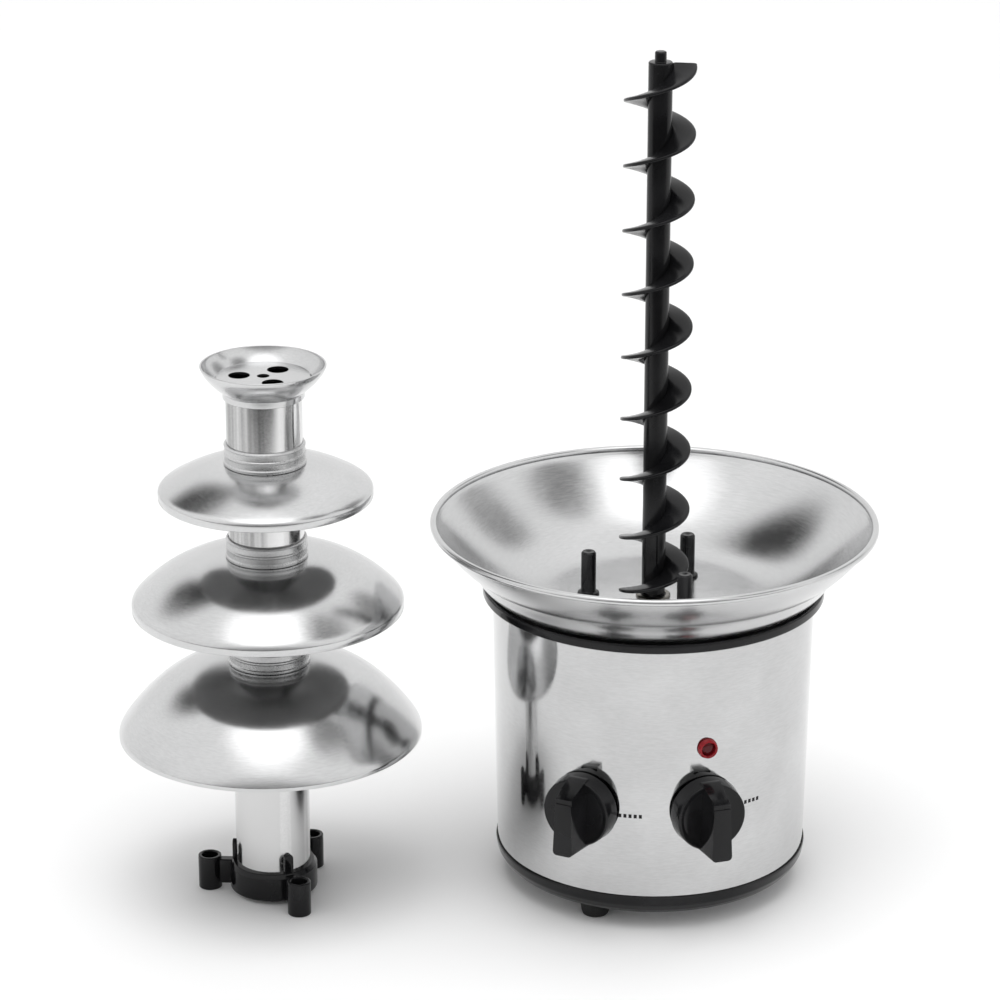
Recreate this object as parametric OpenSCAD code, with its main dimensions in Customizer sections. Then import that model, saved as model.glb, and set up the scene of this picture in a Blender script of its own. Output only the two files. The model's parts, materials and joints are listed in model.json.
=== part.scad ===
// Table-top chocolate fountain, taken apart in two: the base unit with its
// bowl and auger stands at the right, the tier tower stands at the left.
// Millimetres, +Z up, floor at z = 0, front towards -Y.

/* [Bowl] */
// Outer diameter of the rolled rim
bowl_d = 220; // [205:1:240]
// Diameter of the crease between dish and flared edge
crease_d = 180; // [176:1:188]
// Diameter of the flat floor
bowl_floor_d = 116; // [108:1:120]
// Height of the crease above the floor
dish_h = 19.5; // [18:0.5:22]
// Slope of the flared edge at the crease, degrees
flare_a0 = 38; // [32:1:44]
// Slope of the flared edge at the rim, degrees
flare_a1 = 56; // [50:1:62]
// Sheet thickness
bowl_t = 1; // [0.8:0.1:1.4]
// Radius of the rolled rim bead
rim_bead_r = 1.7; // [1.4:0.1:2.2]

/* [Housing] */
// Outer diameter of the shell at its lower edge
shell_d0 = 153.2; // [148:0.2:156]
// Outer diameter of the shell at its upper edge
shell_d1 = 158.8; // [154:0.2:160]
// Height of the shell
shell_h = 132.5; // [125:1:150]
// Sheet thickness of the shell
shell_t = 0.8; // [0.6:0.1:1.2]
// Diameter of the black ring under the bowl
top_ring_d = 168.4; // [167:0.2:174]
// Thickness of that ring's flange
top_ring_t = 4.5; // [3.5:0.5:6]
// Height of the black ring at the bottom
bottom_ring_h = 11; // [10:0.5:14]
// Thickness of the base plate
plate_t = 1.5; // [1:0.1:2]
// Height of the feet
foot_h = 10; // [8:0.5:16]
// Diameter of a foot
foot_d = 15.4; // [12:0.2:16]
// Direction of the front foot, degrees from +X
foot_dir = -118; // [-124:1:-112]

/* [Posts] */
// Diameter of the circle through the three posts
post_circle_d = 64; // [60:0.5:68]
// Diameter of a post
post_d = 7; // [6:0.2:7.6]
// Height of a post above the bowl's floor
post_h = 22.5; // [18:0.5:30]
// Direction of the left post, degrees from +X
post_dir = 176; // [170:1:182]

/* [Auger] */
// Diameter over the flights
auger_d = 34.6; // [30:0.2:34.8]
// Diameter of the core
auger_core_d = 11.6; // [10.6:0.2:14]
// Length of the core
auger_len = 268; // [250:1:280]
// Rise of the flight for each turn
auger_pitch = 32.2; // [28:0.2:40]
// Diameter of the top pip
pip_d = 5.6; // [4:0.2:7]
// Length of the top pip
pip_len = 5; // [3:0.5:8]

/* [Drive] */
// Diameter of the drive shaft
shaft_d = 8; // [7:0.2:8.4]
// Gear module
gear_m = 0.9; // [0.8:0.05:0.9]
// Teeth of the large gears
wheel_teeth = 42; // [38:1:42]
// Teeth of the small gears
pinion_teeth = 14; // [14:1:15]
// Diameter of the motor can
motor_d = 44; // [40:1:46]
// Length of the motor can
motor_len = 46; // [40:1:50]

/* [Controls] */
// Direction of the motor knob, degrees from the front
motor_knob_dir = -26.5; // [-30:0.5:-22]
// Direction of the heat knob, degrees from the front
heat_knob_dir = 17.5; // [16:0.5:24]
// Height of both knobs' axes
knob_z = 65; // [60:0.5:70]
// Diameter of a knob's drum
knob_d = 35.8; // [32:0.2:38]
// Width of a knob's grip bar
bar_w = 10; // [8:0.5:13]
// How far the grip bar stands out from the shell
bar_out = 25; // [20:0.5:28]
// Direction of the pilot lamp, degrees from the front
lamp_dir = 17.8; // [14:0.1:24]
// Height of the pilot lamp
lamp_z = 97.6; // [95:0.1:104]
// Diameter of the pilot lamp's bezel
lamp_d = 10.4; // [8:0.2:11]

/* [Tower] */
// Free gap between the bowl's rim and the bottom tier, seen from above
tower_gap = 5.9; // [2:0.1:40]
// Direction from the base unit to the tower, degrees from +X
tower_dir = 187.7; // [182:0.1:194]
// Outer diameter of the tower's tube
tube_d = 36.8; // [36.6:0.1:39]
// Wall of the tower's tube
tube_t = 0.6; // [0.5:0.1:0.7]
// Rim diameters of the top, middle and bottom tiers
tier_d1 = 104; // [90:1:120]
tier_d2 = 132.6; // [120:0.2:145]
tier_d3 = 148.8; // [140:0.2:160]
// Heights of the tiers' lower edges
tier_z1 = 208.9; // [204:0.1:214]
tier_z2 = 151.5; // [146:0.1:156]
tier_z3 = 85.5; // [80:0.1:90]
// Heights of the domes above their edge lips
tier_h1 = 14; // [10:0.5:18]
tier_h2 = 23.5; // [18:0.5:28]
tier_h3 = 34.5; // [28:0.5:38]
// Sheet thickness of the tiers
tier_t = 0.9; // [0.7:0.1:1.2]
// Height of the vertical lip round each tier
tier_lip = 3; // [2:0.5:4]
// Height of a tier's collar
collar_h = 10.5; // [8:0.5:12]
// Outer diameter of the crown cup
crown_d = 60.8; // [54:0.2:70]
// Height of the crown cup above the tube's end
crown_rise = 7; // [6:0.5:10]
// Height of the tube's upper end
tube_top = 268.2; // [260:0.2:280]

/* [Hidden] */
$fn = 96;

// Clearances
run_gap = 0.05;   // shaft in its bore, radial
slip_gap = 0.1;   // loose fit of fixed pieces, radial
bolt_gap = 0.2;   // screw in its hole, radial
seat_gap = 0.1;   // flat or moulded seat
eps = 0.01;

// Finishes
steel = "gainsboro";
black = [0.09, 0.09, 0.1];
zinc = "silver";

// Places of the two halves, with the box of the whole centred on the origin
bowl_r = bowl_d / 2;
tier_r3 = tier_d3 / 2;
tower_dist = bowl_r + tier_r3 + tower_gap;
tower_dx = tower_dist * cos(tower_dir);
tower_dy = tower_dist * sin(tower_dir);
base_x = -(min(-bowl_r, tower_dx - tier_r3) + max(bowl_r, tower_dx + tier_r3)) / 2;
base_y = -(min(-bowl_r, tower_dy - tier_r3) + max(bowl_r, tower_dy + tier_r3)) / 2;

// Housing heights and radii
plate_z1 = foot_h + plate_t;
bottom_ring_z0 = foot_h - 1.5;
bottom_ring_z1 = bottom_ring_z0 + bottom_ring_h;
groove_h = 3;
shell_z0 = bottom_ring_z1 - groove_h;
shell_z1 = shell_z0 + shell_h;
shell_r0 = shell_d0 / 2;
shell_r1 = shell_d1 / 2;
function shell_r(z) = shell_r0 + (shell_r1 - shell_r0) * (z - shell_z0) / shell_h;
ledge_t = 2;
ledge_z1 = plate_z1 + ledge_t;
ledge_r = shell_r0 - 18.6;
plate_r = shell_r0 - 7.2;
rod_circle_r = shell_r0 - 10.6;
rod_r = 2;
foot_circle_r = shell_r0 - 15.6;
foot_screw_r = 1.5;
top_ring_r = top_ring_d / 2;
flange_z0 = shell_z1 + 0.8;
top_ring_z1 = flange_z0 + top_ring_t;
skirt_drop = 14.5;
boss_r = 4.5;

// Bowl profile
floor_r = bowl_floor_d / 2;
crease_r = crease_d / 2;
gasket_t = 0.7;
dish_rho = (pow(crease_r - floor_r, 2) + dish_h * dish_h) / (2 * dish_h);
dish_a = asin((crease_r - floor_r) / dish_rho);
// the dish sinks into the ring until this much of the ring's top shows round it
ring_land = 1.59783;
ring_seat_rho = dish_rho + bowl_t + gasket_t + seat_gap;
// and no further out than this share of the dish
seat_share = 0.9;
ring_seat_r = min(top_ring_r - ring_land, floor_r + seat_share * ring_seat_rho * sin(dish_a));
bowl_sink = dish_rho - sqrt(pow(ring_seat_rho, 2) - pow(ring_seat_r - floor_r, 2));
floor_z = top_ring_z1 - bowl_sink;
bead_ring_r = bowl_r - rim_bead_r;
bead_start_a = flare_a1 + 180 - asin(bowl_t / 2 / rim_bead_r);
bead_sweep_a = 360 - 2 * asin(bowl_t / 2 / rim_bead_r);
bead_steps = 14;
flare_end_r = bead_ring_r + rim_bead_r * cos(bead_start_a);
flare_rho = (flare_end_r - crease_r) / (sin(flare_a1) - sin(flare_a0));
bowl_steps = 14;
under_z = floor_z - bowl_t;
dish_z = floor_z + dish_rho;

// A sheet's dish and flare: inner surface at off = 0, outer surface at off = bowl_t
function dish_point(a, off) = [floor_r + (dish_rho + off) * sin(a), dish_z - (dish_rho + off) * cos(a)];
function flare_point(a, off) = [
  crease_r + flare_rho * (sin(a) - sin(flare_a0)) + off * sin(a),
  floor_z + dish_h + flare_rho * (cos(flare_a0) - cos(a)) - off * cos(a)
];
function dish_line(off) = [for (i = [0:bowl_steps]) dish_point(dish_a * i / bowl_steps, off)];
function flare_line(off) = [
  for (i = [0:bowl_steps]) flare_point(flare_a0 + (flare_a1 - flare_a0) * i / bowl_steps, off)
];
crease_mid_a = (dish_a + flare_a0) / 2;
crease_mitre = bowl_t / cos((dish_a - flare_a0) / 2);
crease_under = [
  crease_r + crease_mitre * sin(crease_mid_a), floor_z + dish_h - crease_mitre * cos(crease_mid_a)
];
under_line = concat(
  [for (i = [0:bowl_steps - 1]) dish_line(bowl_t)[i]], [crease_under],
  [for (i = [1:bowl_steps]) flare_line(bowl_t)[i]]
);
bead_z = flare_point(flare_a1, 0)[1] - rim_bead_r * sin(bead_start_a);
bead_line = [
  for (i = [1:bead_steps - 1]) let (a = bead_start_a - bead_sweep_a * i / bead_steps)
    [bead_ring_r + rim_bead_r * cos(a), bead_z + rim_bead_r * sin(a)]
];
function reversed(list) = [for (i = [len(list) - 1:-1:0]) list[i]];

// Posts, bush and what hangs under the bowl
post_circle_r = post_circle_d / 2;
post_dirs = [post_dir, post_dir + 120, post_dir + 240];
post_flange_r = post_d / 2 + 2;
post_flange_t = 1.6;
stud_r = 2.45;
shaft_r = shaft_d / 2;
bush_r = shaft_r + 3;
bush_flange_r = bush_r + 1.5;
bush_flange_t = 1.2;
bush_len = 10;
seal_r = shaft_r + 2.1;
seal_len = 3.4;
nut_t = 5.5;
nut_r = bush_r + 4;
heater_t = 3;
heater_z0 = under_z - heater_t;
heater_tube_r = 3.2;
heater_ring_r = floor_r - 15;
standoff_r = 4.6;
standoff_h = 19;
bracket_t = 2;
bracket_z1 = heater_z0 - standoff_h;
bracket_z0 = bracket_z1 - bracket_t;
bracket_r = post_circle_r + 8;
bracket_screw_r = 2;

// Gear train: drive wheel and motor pinion share the main axis, the idler pair stands beside them
gear_dir = post_dir - 60;
pressure = 20;
addendum = 0.8 * gear_m;
dedendum = 1.05 * gear_m;
backlash = 0.07;
centre_dist = gear_m * (wheel_teeth + pinion_teeth) / 2;
wheel_tip_r = gear_m * wheel_teeth / 2 + addendum;
gear_room = 1;
case_wall = 1.6;
case_in_r = wheel_tip_r + gear_room;
case_r = case_in_r + case_wall;
cover_t = 4;
case_h = 22;
case_floor_t = 2.5;
case_z1 = bracket_z0 - cover_t;
case_z0 = case_z1 - case_h;
gear_floor = case_z0 + case_floor_t;
pin_r = 2;
pin_sink = 2;
hub_gap = 0.3;
low_gear_z = gear_floor + 2.5;
low_gear_w = 4.5;
high_gear_w = 6;
high_gear_z = case_z1 - 2 - high_gear_w;
wheel_hub_r = shaft_r + 4;
ear_r = 4;
ear_y = case_r + 3;
ear_places = [for (x = [-8, centre_dist + 9], y = [-ear_y, ear_y]) [x, y]];
ear_screw_r = 1.5;

// Motor
motor_r = motor_d / 2;
motor_wall = 1.2;
motor_z1 = case_z0;
motor_z0 = motor_z1 - motor_len;
rotor_shaft_r = 2;
bearing_r = 5;
bearing_len = 6;
end_cap_t = 3.5;
stack_z0 = motor_z0 + 10;
stack_z1 = motor_z1 - 11;
rotor_r = motor_r - 10;
air_gap = 0.6;
stator_r = motor_r - motor_wall - slip_gap;
coil_len = 5.5;

// Auger and its drive
auger_z0 = floor_z + bush_flange_t + 0.5;
auger_z1 = auger_z0 + auger_len;
hex_r = shaft_r - 0.1;
hex_gap = 0.2;
hex_z0 = auger_z0 - 0.2;
hex_len = 15;
flight_end_z = auger_z1 - 0.4;
flight_start_z = auger_z0 + 3.8;
flight_end_dir = 5;
flight_root_t = 3.4;
flight_tip_t = 2;
flight_steps = 24;

// Controls: the shell stands panel_r from the axis at the knobs
panel_r = shell_r(knob_z);
spindle_r = 3;
switch_bush_r = 4.5;
switch_w = 24;
switch_depth = 18;
switch_back = 5;
panel_nut_r = 7;
panel_nut_t = 2.6;
knob_foot = 0.9;
drum_h = 9.5;
drum_front_r = knob_d / 2 - 1;
bar_root = 3.4;
bar_edge = 0.8;
bar_fall = 0.8;
bar_end = 8.5;
notch_u = 10;
notch_w = 2.6;
notch_depth = 2.2;
knob_recess_r = 9.5;
knob_recess = 4.5;
spindle_out = 14;
spindle_in = 12;
lamp_r = lamp_d / 2;
lamp_panel_r = shell_r(lamp_z);
lamp_out = 2.6;
lamp_body_r = lamp_r - 1.2;
lamp_bore_r = lamp_r - 1.8;
lamp_body_len = 12;
gland_z = foot_h + 26;
gland_bore_r = 3.5;
gland_body_r = 6;
gland_flange_r = 8.5;
gland_out = 4;
gland_in = 10;

// Tower
tube_r = tube_d / 2;
tube_in_r = tube_r - tube_t;
tube_z0 = 12;
collar_t = 1.1;
tier_power1 = 1.75;
tier_power2 = 2.3;
tier_power3 = 2.4;
tier_steps = 16;
crown_r = crown_d / 2;
crown_t = 0.9;
crown_sleeve = 9;
guide_t = 1.2;
guide_r = tube_r + 4;
foot_collar_r = tube_r + 3.3;
foot_collar_z0 = 2.4;
foot_collar_z1 = 14.2;
foot_step_z1 = 16.4;
socket_r = post_d / 2 + 2.3;
socket_bore_r = post_d / 2 + 0.5;
socket_h = 17.4;
web_w = 5;
web_z0 = foot_collar_z0 + 1.2;
web_z1 = foot_collar_z1 - 0.4;
rib_w = 4.6;
rib_t = 1.9;
rib_z1 = 24;
rib_steps = 8;
rib_outline = concat(
  [[-rib_w / 2, foot_collar_z1 - 2], [rib_w / 2, foot_collar_z1 - 2]],
  [for (i = [0:rib_steps]) let (a = 180 * i / rib_steps) rib_w / 2 * [cos(a), sin(a)] + [0, rib_z1]]
);

module at_base() {
  translate([base_x, base_y, 0]) children();
}

module at_tower() {
  translate([base_x + tower_dx, base_y + tower_dy, 0]) children();
}

// Local frame on the housing: Z points out of the shell, Y up, measured from the base axis
module at_panel(dir, z) {
  at_base() translate([0, 0, z]) rotate([0, 0, dir]) rotate([90, 0, 0]) children();
}

module at_gears() {
  at_base() rotate([0, 0, gear_dir]) children();
}

module ring_of(count, r, start) {
  for (i = [0:count - 1]) rotate([0, 0, start + i * 360 / count]) translate([r, 0, 0]) children();
}

module bore(r, z0, z1) {
  translate([0, 0, z0]) cylinder(r = r, h = z1 - z0);
}

module tube(r_out, r_in, z0, z1) {
  difference() {
    bore(r_out, z0, z1);
    bore(r_in, z0 - 1, z1 + 1);
  }
}

module hexagon(r, z0, z1) {
  translate([0, 0, z0]) cylinder(r = r, h = z1 - z0, $fn = 6);
}

// A screw with its head below seat_z and its shank above
module screw(r, head_r, head_h, seat_z, tip_z) {
  bore(head_r, seat_z - head_h, seat_z);
  bore(r, seat_z - eps, tip_z);
}

// Involute gear outline with one tooth centred on +X
function involute(a) = tan(a) * 180 / PI - a;
function flank_half_angle(teeth, r) =
  let (base_r = gear_m * teeth / 2 * cos(pressure), at = r > base_r ? acos(base_r / r) : 0)
  90 / teeth - backlash / (gear_m * teeth / 2) * 180 / PI + involute(pressure) - involute(at);
function polar(r, a) = [r * cos(a), r * sin(a)];
function gear_points(teeth) =
  let (
    pitch_r = gear_m * teeth / 2,
    root_r = pitch_r - dedendum,
    tip_r = pitch_r + addendum,
    start_r = max(root_r, pitch_r * cos(pressure)),
    radii = [root_r, for (i = [0:4]) start_r + (tip_r - start_r) * i / 4],
    used = start_r == root_r ? [for (i = [1:5]) radii[i]] : radii
  )
  [
    for (tooth = [0:teeth - 1])
      for (side = [-1, 1])
        for (r = side < 0 ? used : reversed(used))
          polar(r, tooth * 360 / teeth + side * flank_half_angle(teeth, r))
  ];

module gear(teeth, z, w) {
  translate([0, 0, z]) linear_extrude(w) polygon(gear_points(teeth));
}

// Housing
module housing_shell() {
  color(steel) difference() {
    at_base() rotate_extrude() polygon([
      [shell_r0 - shell_t, shell_z0], [shell_r0, shell_z0],
      [shell_r1, shell_z1], [shell_r1 - shell_t, shell_z1]
    ]);
    for (dir = [motor_knob_dir, heat_knob_dir])
      at_panel(dir, knob_z) bore(switch_bush_r + slip_gap, panel_r - 8, panel_r + 8);
    at_panel(lamp_dir, lamp_z) bore(lamp_body_r + slip_gap, lamp_panel_r - 8, lamp_panel_r + 8);
    at_panel(180, gland_z) bore(gland_body_r + slip_gap, shell_r0 - 8, shell_r1 + 8);
  }
}

module top_ring() {
  skirt_r = shell_r1 - shell_t - 0.9;
  lip_r = shell_r1 + 0.5;
  skirt_z0 = shell_z1 - skirt_drop;
  color(black) at_base() difference() {
    union() {
      rotate_extrude() difference() {
        polygon([
          [skirt_r - 1.6, skirt_z0], [skirt_r, skirt_z0], [skirt_r, shell_z1 + seat_gap],
          [lip_r, shell_z1 + seat_gap], [lip_r, flange_z0], [top_ring_r - 0.6, flange_z0],
          [top_ring_r, flange_z0 + 0.6],
          [top_ring_r, top_ring_z1 - 0.9], [top_ring_r - 0.9, top_ring_z1], [skirt_r - 1.6, top_ring_z1]
        ]);
        translate([floor_r, dish_z]) circle(r = ring_seat_rho);
      }
      ring_of(3, rod_circle_r, foot_dir + 60) {
        bore(boss_r, skirt_z0, under_z - 0.6);
        translate([0, -2.5, skirt_z0]) cube([skirt_r - 0.8 - rod_circle_r, 5, under_z - 0.6 - skirt_z0]);
      }
    }
    ring_of(3, rod_circle_r, foot_dir + 60) bore(rod_r + slip_gap, skirt_z0 - 1, under_z - 2);
  }
}

module bottom_ring() {
  lip_r = shell_r0 + 0.3;
  inner_r = shell_r0 - shell_t - 0.4;
  color(black) at_base() difference() {
    rotate_extrude() polygon([
      [plate_r + slip_gap, bottom_ring_z0], [plate_r + 3, bottom_ring_z0 + 0.8],
      [lip_r - 2, bottom_ring_z0 + 3], [lip_r - 0.1, bottom_ring_z0 + 6],
      [lip_r + 0.6, bottom_ring_z1 - 1], [lip_r + 0.4, bottom_ring_z1], [lip_r, bottom_ring_z1],
      [lip_r, shell_z0 - seat_gap], [inner_r, shell_z0 - seat_gap], [inner_r, bottom_ring_z1 + 1.5],
      [inner_r - 2, bottom_ring_z1 + 1.5], [inner_r - 2, ledge_z1], [ledge_r, ledge_z1],
      [ledge_r, plate_z1], [plate_r + slip_gap, plate_z1]
    ]);
    ring_of(3, rod_circle_r, foot_dir + 60) bore(rod_r + bolt_gap, plate_z1 - 1, ledge_z1 + 1);
    ring_of(3, foot_circle_r, foot_dir) bore(foot_screw_r + bolt_gap, plate_z1 - 1, ledge_z1 + 1);
  }
}

module base_plate() {
  vent_r = 2.4;
  color(zinc) at_base() difference() {
    bore(plate_r, foot_h, plate_z1);
    ring_of(3, rod_circle_r, foot_dir + 60) bore(rod_r + bolt_gap, foot_h - 1, plate_z1 + 1);
    ring_of(3, foot_circle_r, foot_dir) bore(foot_screw_r + bolt_gap, foot_h - 1, plate_z1 + 1);
    ring_of(12, 26, 0) bore(vent_r, foot_h - 1, plate_z1 + 1);
    ring_of(18, 36, 0) bore(vent_r, foot_h - 1, plate_z1 + 1);
  }
}

module rubber_foot(index) {
  foot_r = foot_d / 2;
  color(black) at_base() rotate([0, 0, foot_dir + index * 120]) translate([foot_circle_r, 0, 0]) difference() {
    rotate_extrude() polygon([
      [0, 0], [foot_r - 2.2, 0], [foot_r - 1.3, 0.7], [foot_r - 0.9, 2],
      [foot_r, foot_h], [0, foot_h]
    ]);
    bore(foot_screw_r + bolt_gap, -1, foot_h + 1);
    bore(foot_r - 3.9, -1, foot_h - 5);
  }
}

module foot_front() { rubber_foot(0); }
module foot_right() { rubber_foot(1); }
module foot_rear() { rubber_foot(2); }

module foot_screws() {
  color(zinc) at_base() ring_of(3, foot_circle_r, foot_dir)
    screw(foot_screw_r, foot_d / 2 - 4.4, 2, foot_h - 5, ledge_z1 + 2);
}

module tie_rods() {
  color(zinc) at_base() ring_of(3, rod_circle_r, foot_dir + 60) screw(rod_r, 3.4, 2.2, foot_h, under_z - 4);
}

// Bowl and what is fastened to it
module bowl() {
  color(steel) at_base() difference() {
    rotate_extrude() polygon(concat(
      [[0, floor_z]], dish_line(0), [for (i = [1:bowl_steps]) flare_line(0)[i]],
      bead_line, reversed(under_line), [[0, under_z]]
    ));
    bore(bush_r + slip_gap, under_z - 1, floor_z + 1);
    ring_of(3, post_circle_r, post_dir) bore(stud_r + bolt_gap, under_z - 1, floor_z + 1);
  }
}

module bowl_gasket() {
  seat_r0 = dish_rho + bowl_t + seat_gap / 2;
  color([0.16, 0.16, 0.17]) at_base() rotate_extrude() intersection() {
    translate([floor_r, dish_z]) difference() {
      circle(r = seat_r0 + gasket_t);
      circle(r = seat_r0);
    }
    translate([floor_r, flange_z0 + 1]) square([crease_r - floor_r, top_ring_t - 1.6]);
  }
}

module post(index) {
  tip = 0.8;
  r = post_d / 2;
  color(black) at_base() rotate([0, 0, post_dirs[index]]) translate([post_circle_r, 0, 0]) rotate_extrude()
    polygon([
      [0, floor_z + post_h - tip], [r - 1.9, floor_z + post_h], [r - tip, floor_z + post_h],
      [r, floor_z + post_h - tip], [r, floor_z + post_flange_t],
      [post_flange_r, floor_z + post_flange_t - 0.5], [post_flange_r, floor_z],
      [stud_r, floor_z], [stud_r, heater_z0 - 10.5], [0, heater_z0 - 10.5]
    ]);
}

module post_left() { post(0); }
module post_front() { post(1); }
module post_rear() { post(2); }

module shaft_bush() {
  color("goldenrod") at_base() difference() {
    union() {
      bore(bush_flange_r, floor_z, floor_z + bush_flange_t);
      bore(bush_r, floor_z - bush_len, floor_z + eps);
    }
    bore(shaft_r + run_gap, floor_z - bush_len - 1, floor_z + bush_flange_t + 1);
    bore(seal_r + seat_gap, floor_z + bush_flange_t - seal_len, floor_z + bush_flange_t + 1);
  }
}

module bush_nut() {
  color(zinc) at_base() difference() {
    hexagon(nut_r, under_z - nut_t, under_z);
    bore(bush_r + run_gap, under_z - nut_t - 1, under_z + 1);
  }
}

module shaft_seal() {
  color(black) at_base() tube(seal_r, shaft_r + run_gap + 0.04,
    floor_z + bush_flange_t - seal_len + seat_gap, floor_z + bush_flange_t - 0.2);
}

module heater_plate() {
  color("lightgray") at_base() difference() {
    tube(heater_ring_r + 7, nut_r + 2, heater_z0, under_z);
    ring_of(3, post_circle_r, post_dir) bore(stud_r + bolt_gap, heater_z0 - 1, under_z + 1);
  }
}

module heater_tube() {
  sweep = 310;
  z = heater_z0 - heater_tube_r - run_gap;
  color("dimgray") at_base() rotate([0, 0, post_dir + 60]) {
    rotate_extrude(angle = sweep) translate([heater_ring_r, z]) circle(r = heater_tube_r);
    for (a = [3, sweep - 3]) rotate([0, 0, a]) translate([heater_ring_r, 0, 0]) bore(1.4, z - 12, z);
  }
}

module thermal_cutout() {
  color("tan") at_base() rotate([0, 0, post_dir + 60]) translate([post_circle_r - 7, 0, 0]) {
    bore(6, heater_z0 - 6, heater_z0);
    for (y = [-3, 3]) translate([-0.5, y - 1.5, heater_z0 - 13]) cube([1, 3, 7.5]);
  }
}

module bracket_standoffs() {
  color(zinc) at_base() ring_of(3, post_circle_r, post_dir) difference() {
    hexagon(standoff_r, bracket_z1, heater_z0);
    bore(stud_r + run_gap, heater_z0 - 11.5, heater_z0 + 1);
    bore(bracket_screw_r + run_gap, bracket_z1 - 1, bracket_z1 + 6.5);
  }
}

module motor_bracket() {
  color(zinc) difference() {
    at_base() difference() {
      bore(bracket_r, bracket_z0, bracket_z1);
      bore(shaft_r + 5, bracket_z0 - 1, bracket_z1 + 1);
      ring_of(3, post_circle_r, post_dir) bore(bracket_screw_r + bolt_gap, bracket_z0 - 1, bracket_z1 + 1);
    }
    at_gears() for (place = ear_places) translate(place)
      bore(ear_screw_r + slip_gap, bracket_z0 - 1, bracket_z1 + 1);
  }
}

module bracket_screws() {
  color(zinc) at_base() ring_of(3, post_circle_r, post_dir)
    screw(bracket_screw_r, 3.2, 2.2, bracket_z0, bracket_z1 + 6);
}

// Gearbox
module stadium(r) {
  circle(r = r);
  translate([centre_dist, 0]) circle(r = r);
  translate([0, -r]) square([centre_dist, 2 * r]);
}

module case_outline() {
  stadium(case_r);
  for (place = ear_places) {
    translate(place) circle(r = ear_r);
    translate([place[0] - ear_r, place[1] < 0 ? place[1] : 0]) square([2 * ear_r, ear_y]);
  }
}

module ear_holes(z0, z1) {
  for (place = ear_places) translate(place) bore(ear_screw_r + slip_gap, z0, z1);
}

module gearbox_case() {
  color("whitesmoke") at_gears() difference() {
    translate([0, 0, case_z0]) linear_extrude(case_h) case_outline();
    translate([0, 0, gear_floor]) linear_extrude(case_h) stadium(case_in_r);
    bore(rotor_shaft_r + 1.5, case_z0 - 1, gear_floor + 1);
    translate([centre_dist, 0, 0]) bore(pin_r + eps, gear_floor - pin_sink, gear_floor + 1);
    ear_holes(case_z0 - 1, case_z1 + 1);
  }
}

module gearbox_cover() {
  color("whitesmoke") at_gears() difference() {
    translate([0, 0, case_z1]) linear_extrude(cover_t) case_outline();
    bore(shaft_r + run_gap, case_z1 - 1, bracket_z0 + 1);
    translate([centre_dist, 0, 0]) bore(pin_r + eps, case_z1 - 1, case_z1 + pin_sink);
    ear_holes(case_z1 - 1, bracket_z0 + 1);
  }
}

module gearbox_screws() {
  color(zinc) at_gears() for (place = ear_places) translate(place)
    screw(ear_screw_r, 2.8, 2.2, case_z0, bracket_z1);
}

module idler_pin() {
  color(zinc) at_gears() translate([centre_dist, 0, 0])
    bore(pin_r, gear_floor - pin_sink + seat_gap, case_z1 + pin_sink - seat_gap);
}

module idler_gear() {
  color("ivory") at_gears() translate([centre_dist, 0, 0]) difference() {
    union() {
      rotate([0, 0, 180 + 180 / wheel_teeth]) gear(wheel_teeth, low_gear_z, low_gear_w);
      rotate([0, 0, 180 + 180 / pinion_teeth])
        gear(pinion_teeth, low_gear_z + low_gear_w - eps, high_gear_z + high_gear_w + 0.5 - low_gear_z - low_gear_w);
      bore(pin_r + 2, gear_floor + hub_gap, case_z1 - hub_gap);
    }
    bore(pin_r + run_gap, case_z0, bracket_z0);
  }
}

module motor_pinion() {
  color("goldenrod") at_gears() difference() {
    gear(pinion_teeth, low_gear_z, low_gear_w + 0.5);
    bore(rotor_shaft_r, case_z0, case_z1);
  }
}

module output_gear() {
  color("ivory") at_gears() difference() {
    union() {
      gear(wheel_teeth, high_gear_z, high_gear_w);
      bore(wheel_hub_r, high_gear_z - 1.2, case_z1 - hub_gap);
    }
    bore(shaft_r, case_z0, bracket_z0);
  }
}

module drive_shaft() {
  color(zinc) at_base() {
    bore(shaft_r, high_gear_z - 1.5, hex_z0);
    hexagon(hex_r, hex_z0 - 1, hex_z0 + hex_len);
  }
}

// Motor
module motor_can() {
  color("lightgray") at_base() difference() {
    bore(motor_r, motor_z0, motor_z1);
    difference() {
      bore(motor_r - motor_wall, motor_z0 - 1, motor_z1 - 2);
      bore(bearing_r, motor_z1 - bearing_len, motor_z1);
    }
    bore(rotor_shaft_r + run_gap, motor_z0, motor_z1 + 1);
  }
}

module motor_end_cap() {
  color(black) at_base() difference() {
    union() {
      bore(motor_r, motor_z0 - end_cap_t, motor_z0);
      bore(bearing_r, motor_z0 - eps, motor_z0 + bearing_len - 2);
    }
    bore(rotor_shaft_r + run_gap, motor_z0 - end_cap_t + 1, motor_z0 + bearing_len);
  }
}

module motor_stator() {
  slot = 4;
  color("slategray") at_base() difference() {
    tube(stator_r, rotor_r + air_gap, stack_z0, stack_z1);
    ring_of(6, rotor_r + 3.5, 0) bore(slot / 2, stack_z0 - 1, stack_z1 + 1);
  }
}

module motor_coils() {
  color("peru") at_base() {
    tube(stator_r - 0.8, rotor_r + 1, stack_z0 - coil_len, stack_z0);
    tube(stator_r - 0.8, rotor_r + 1, stack_z1, stack_z1 + coil_len);
  }
}

module rotor() {
  color("gray") at_base() {
    bore(rotor_shaft_r, motor_z0 - end_cap_t + 1.2, low_gear_z + low_gear_w + 1.5);
    bore(rotor_r, stack_z0 + 0.5, stack_z1 - 0.5);
  }
}

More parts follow.
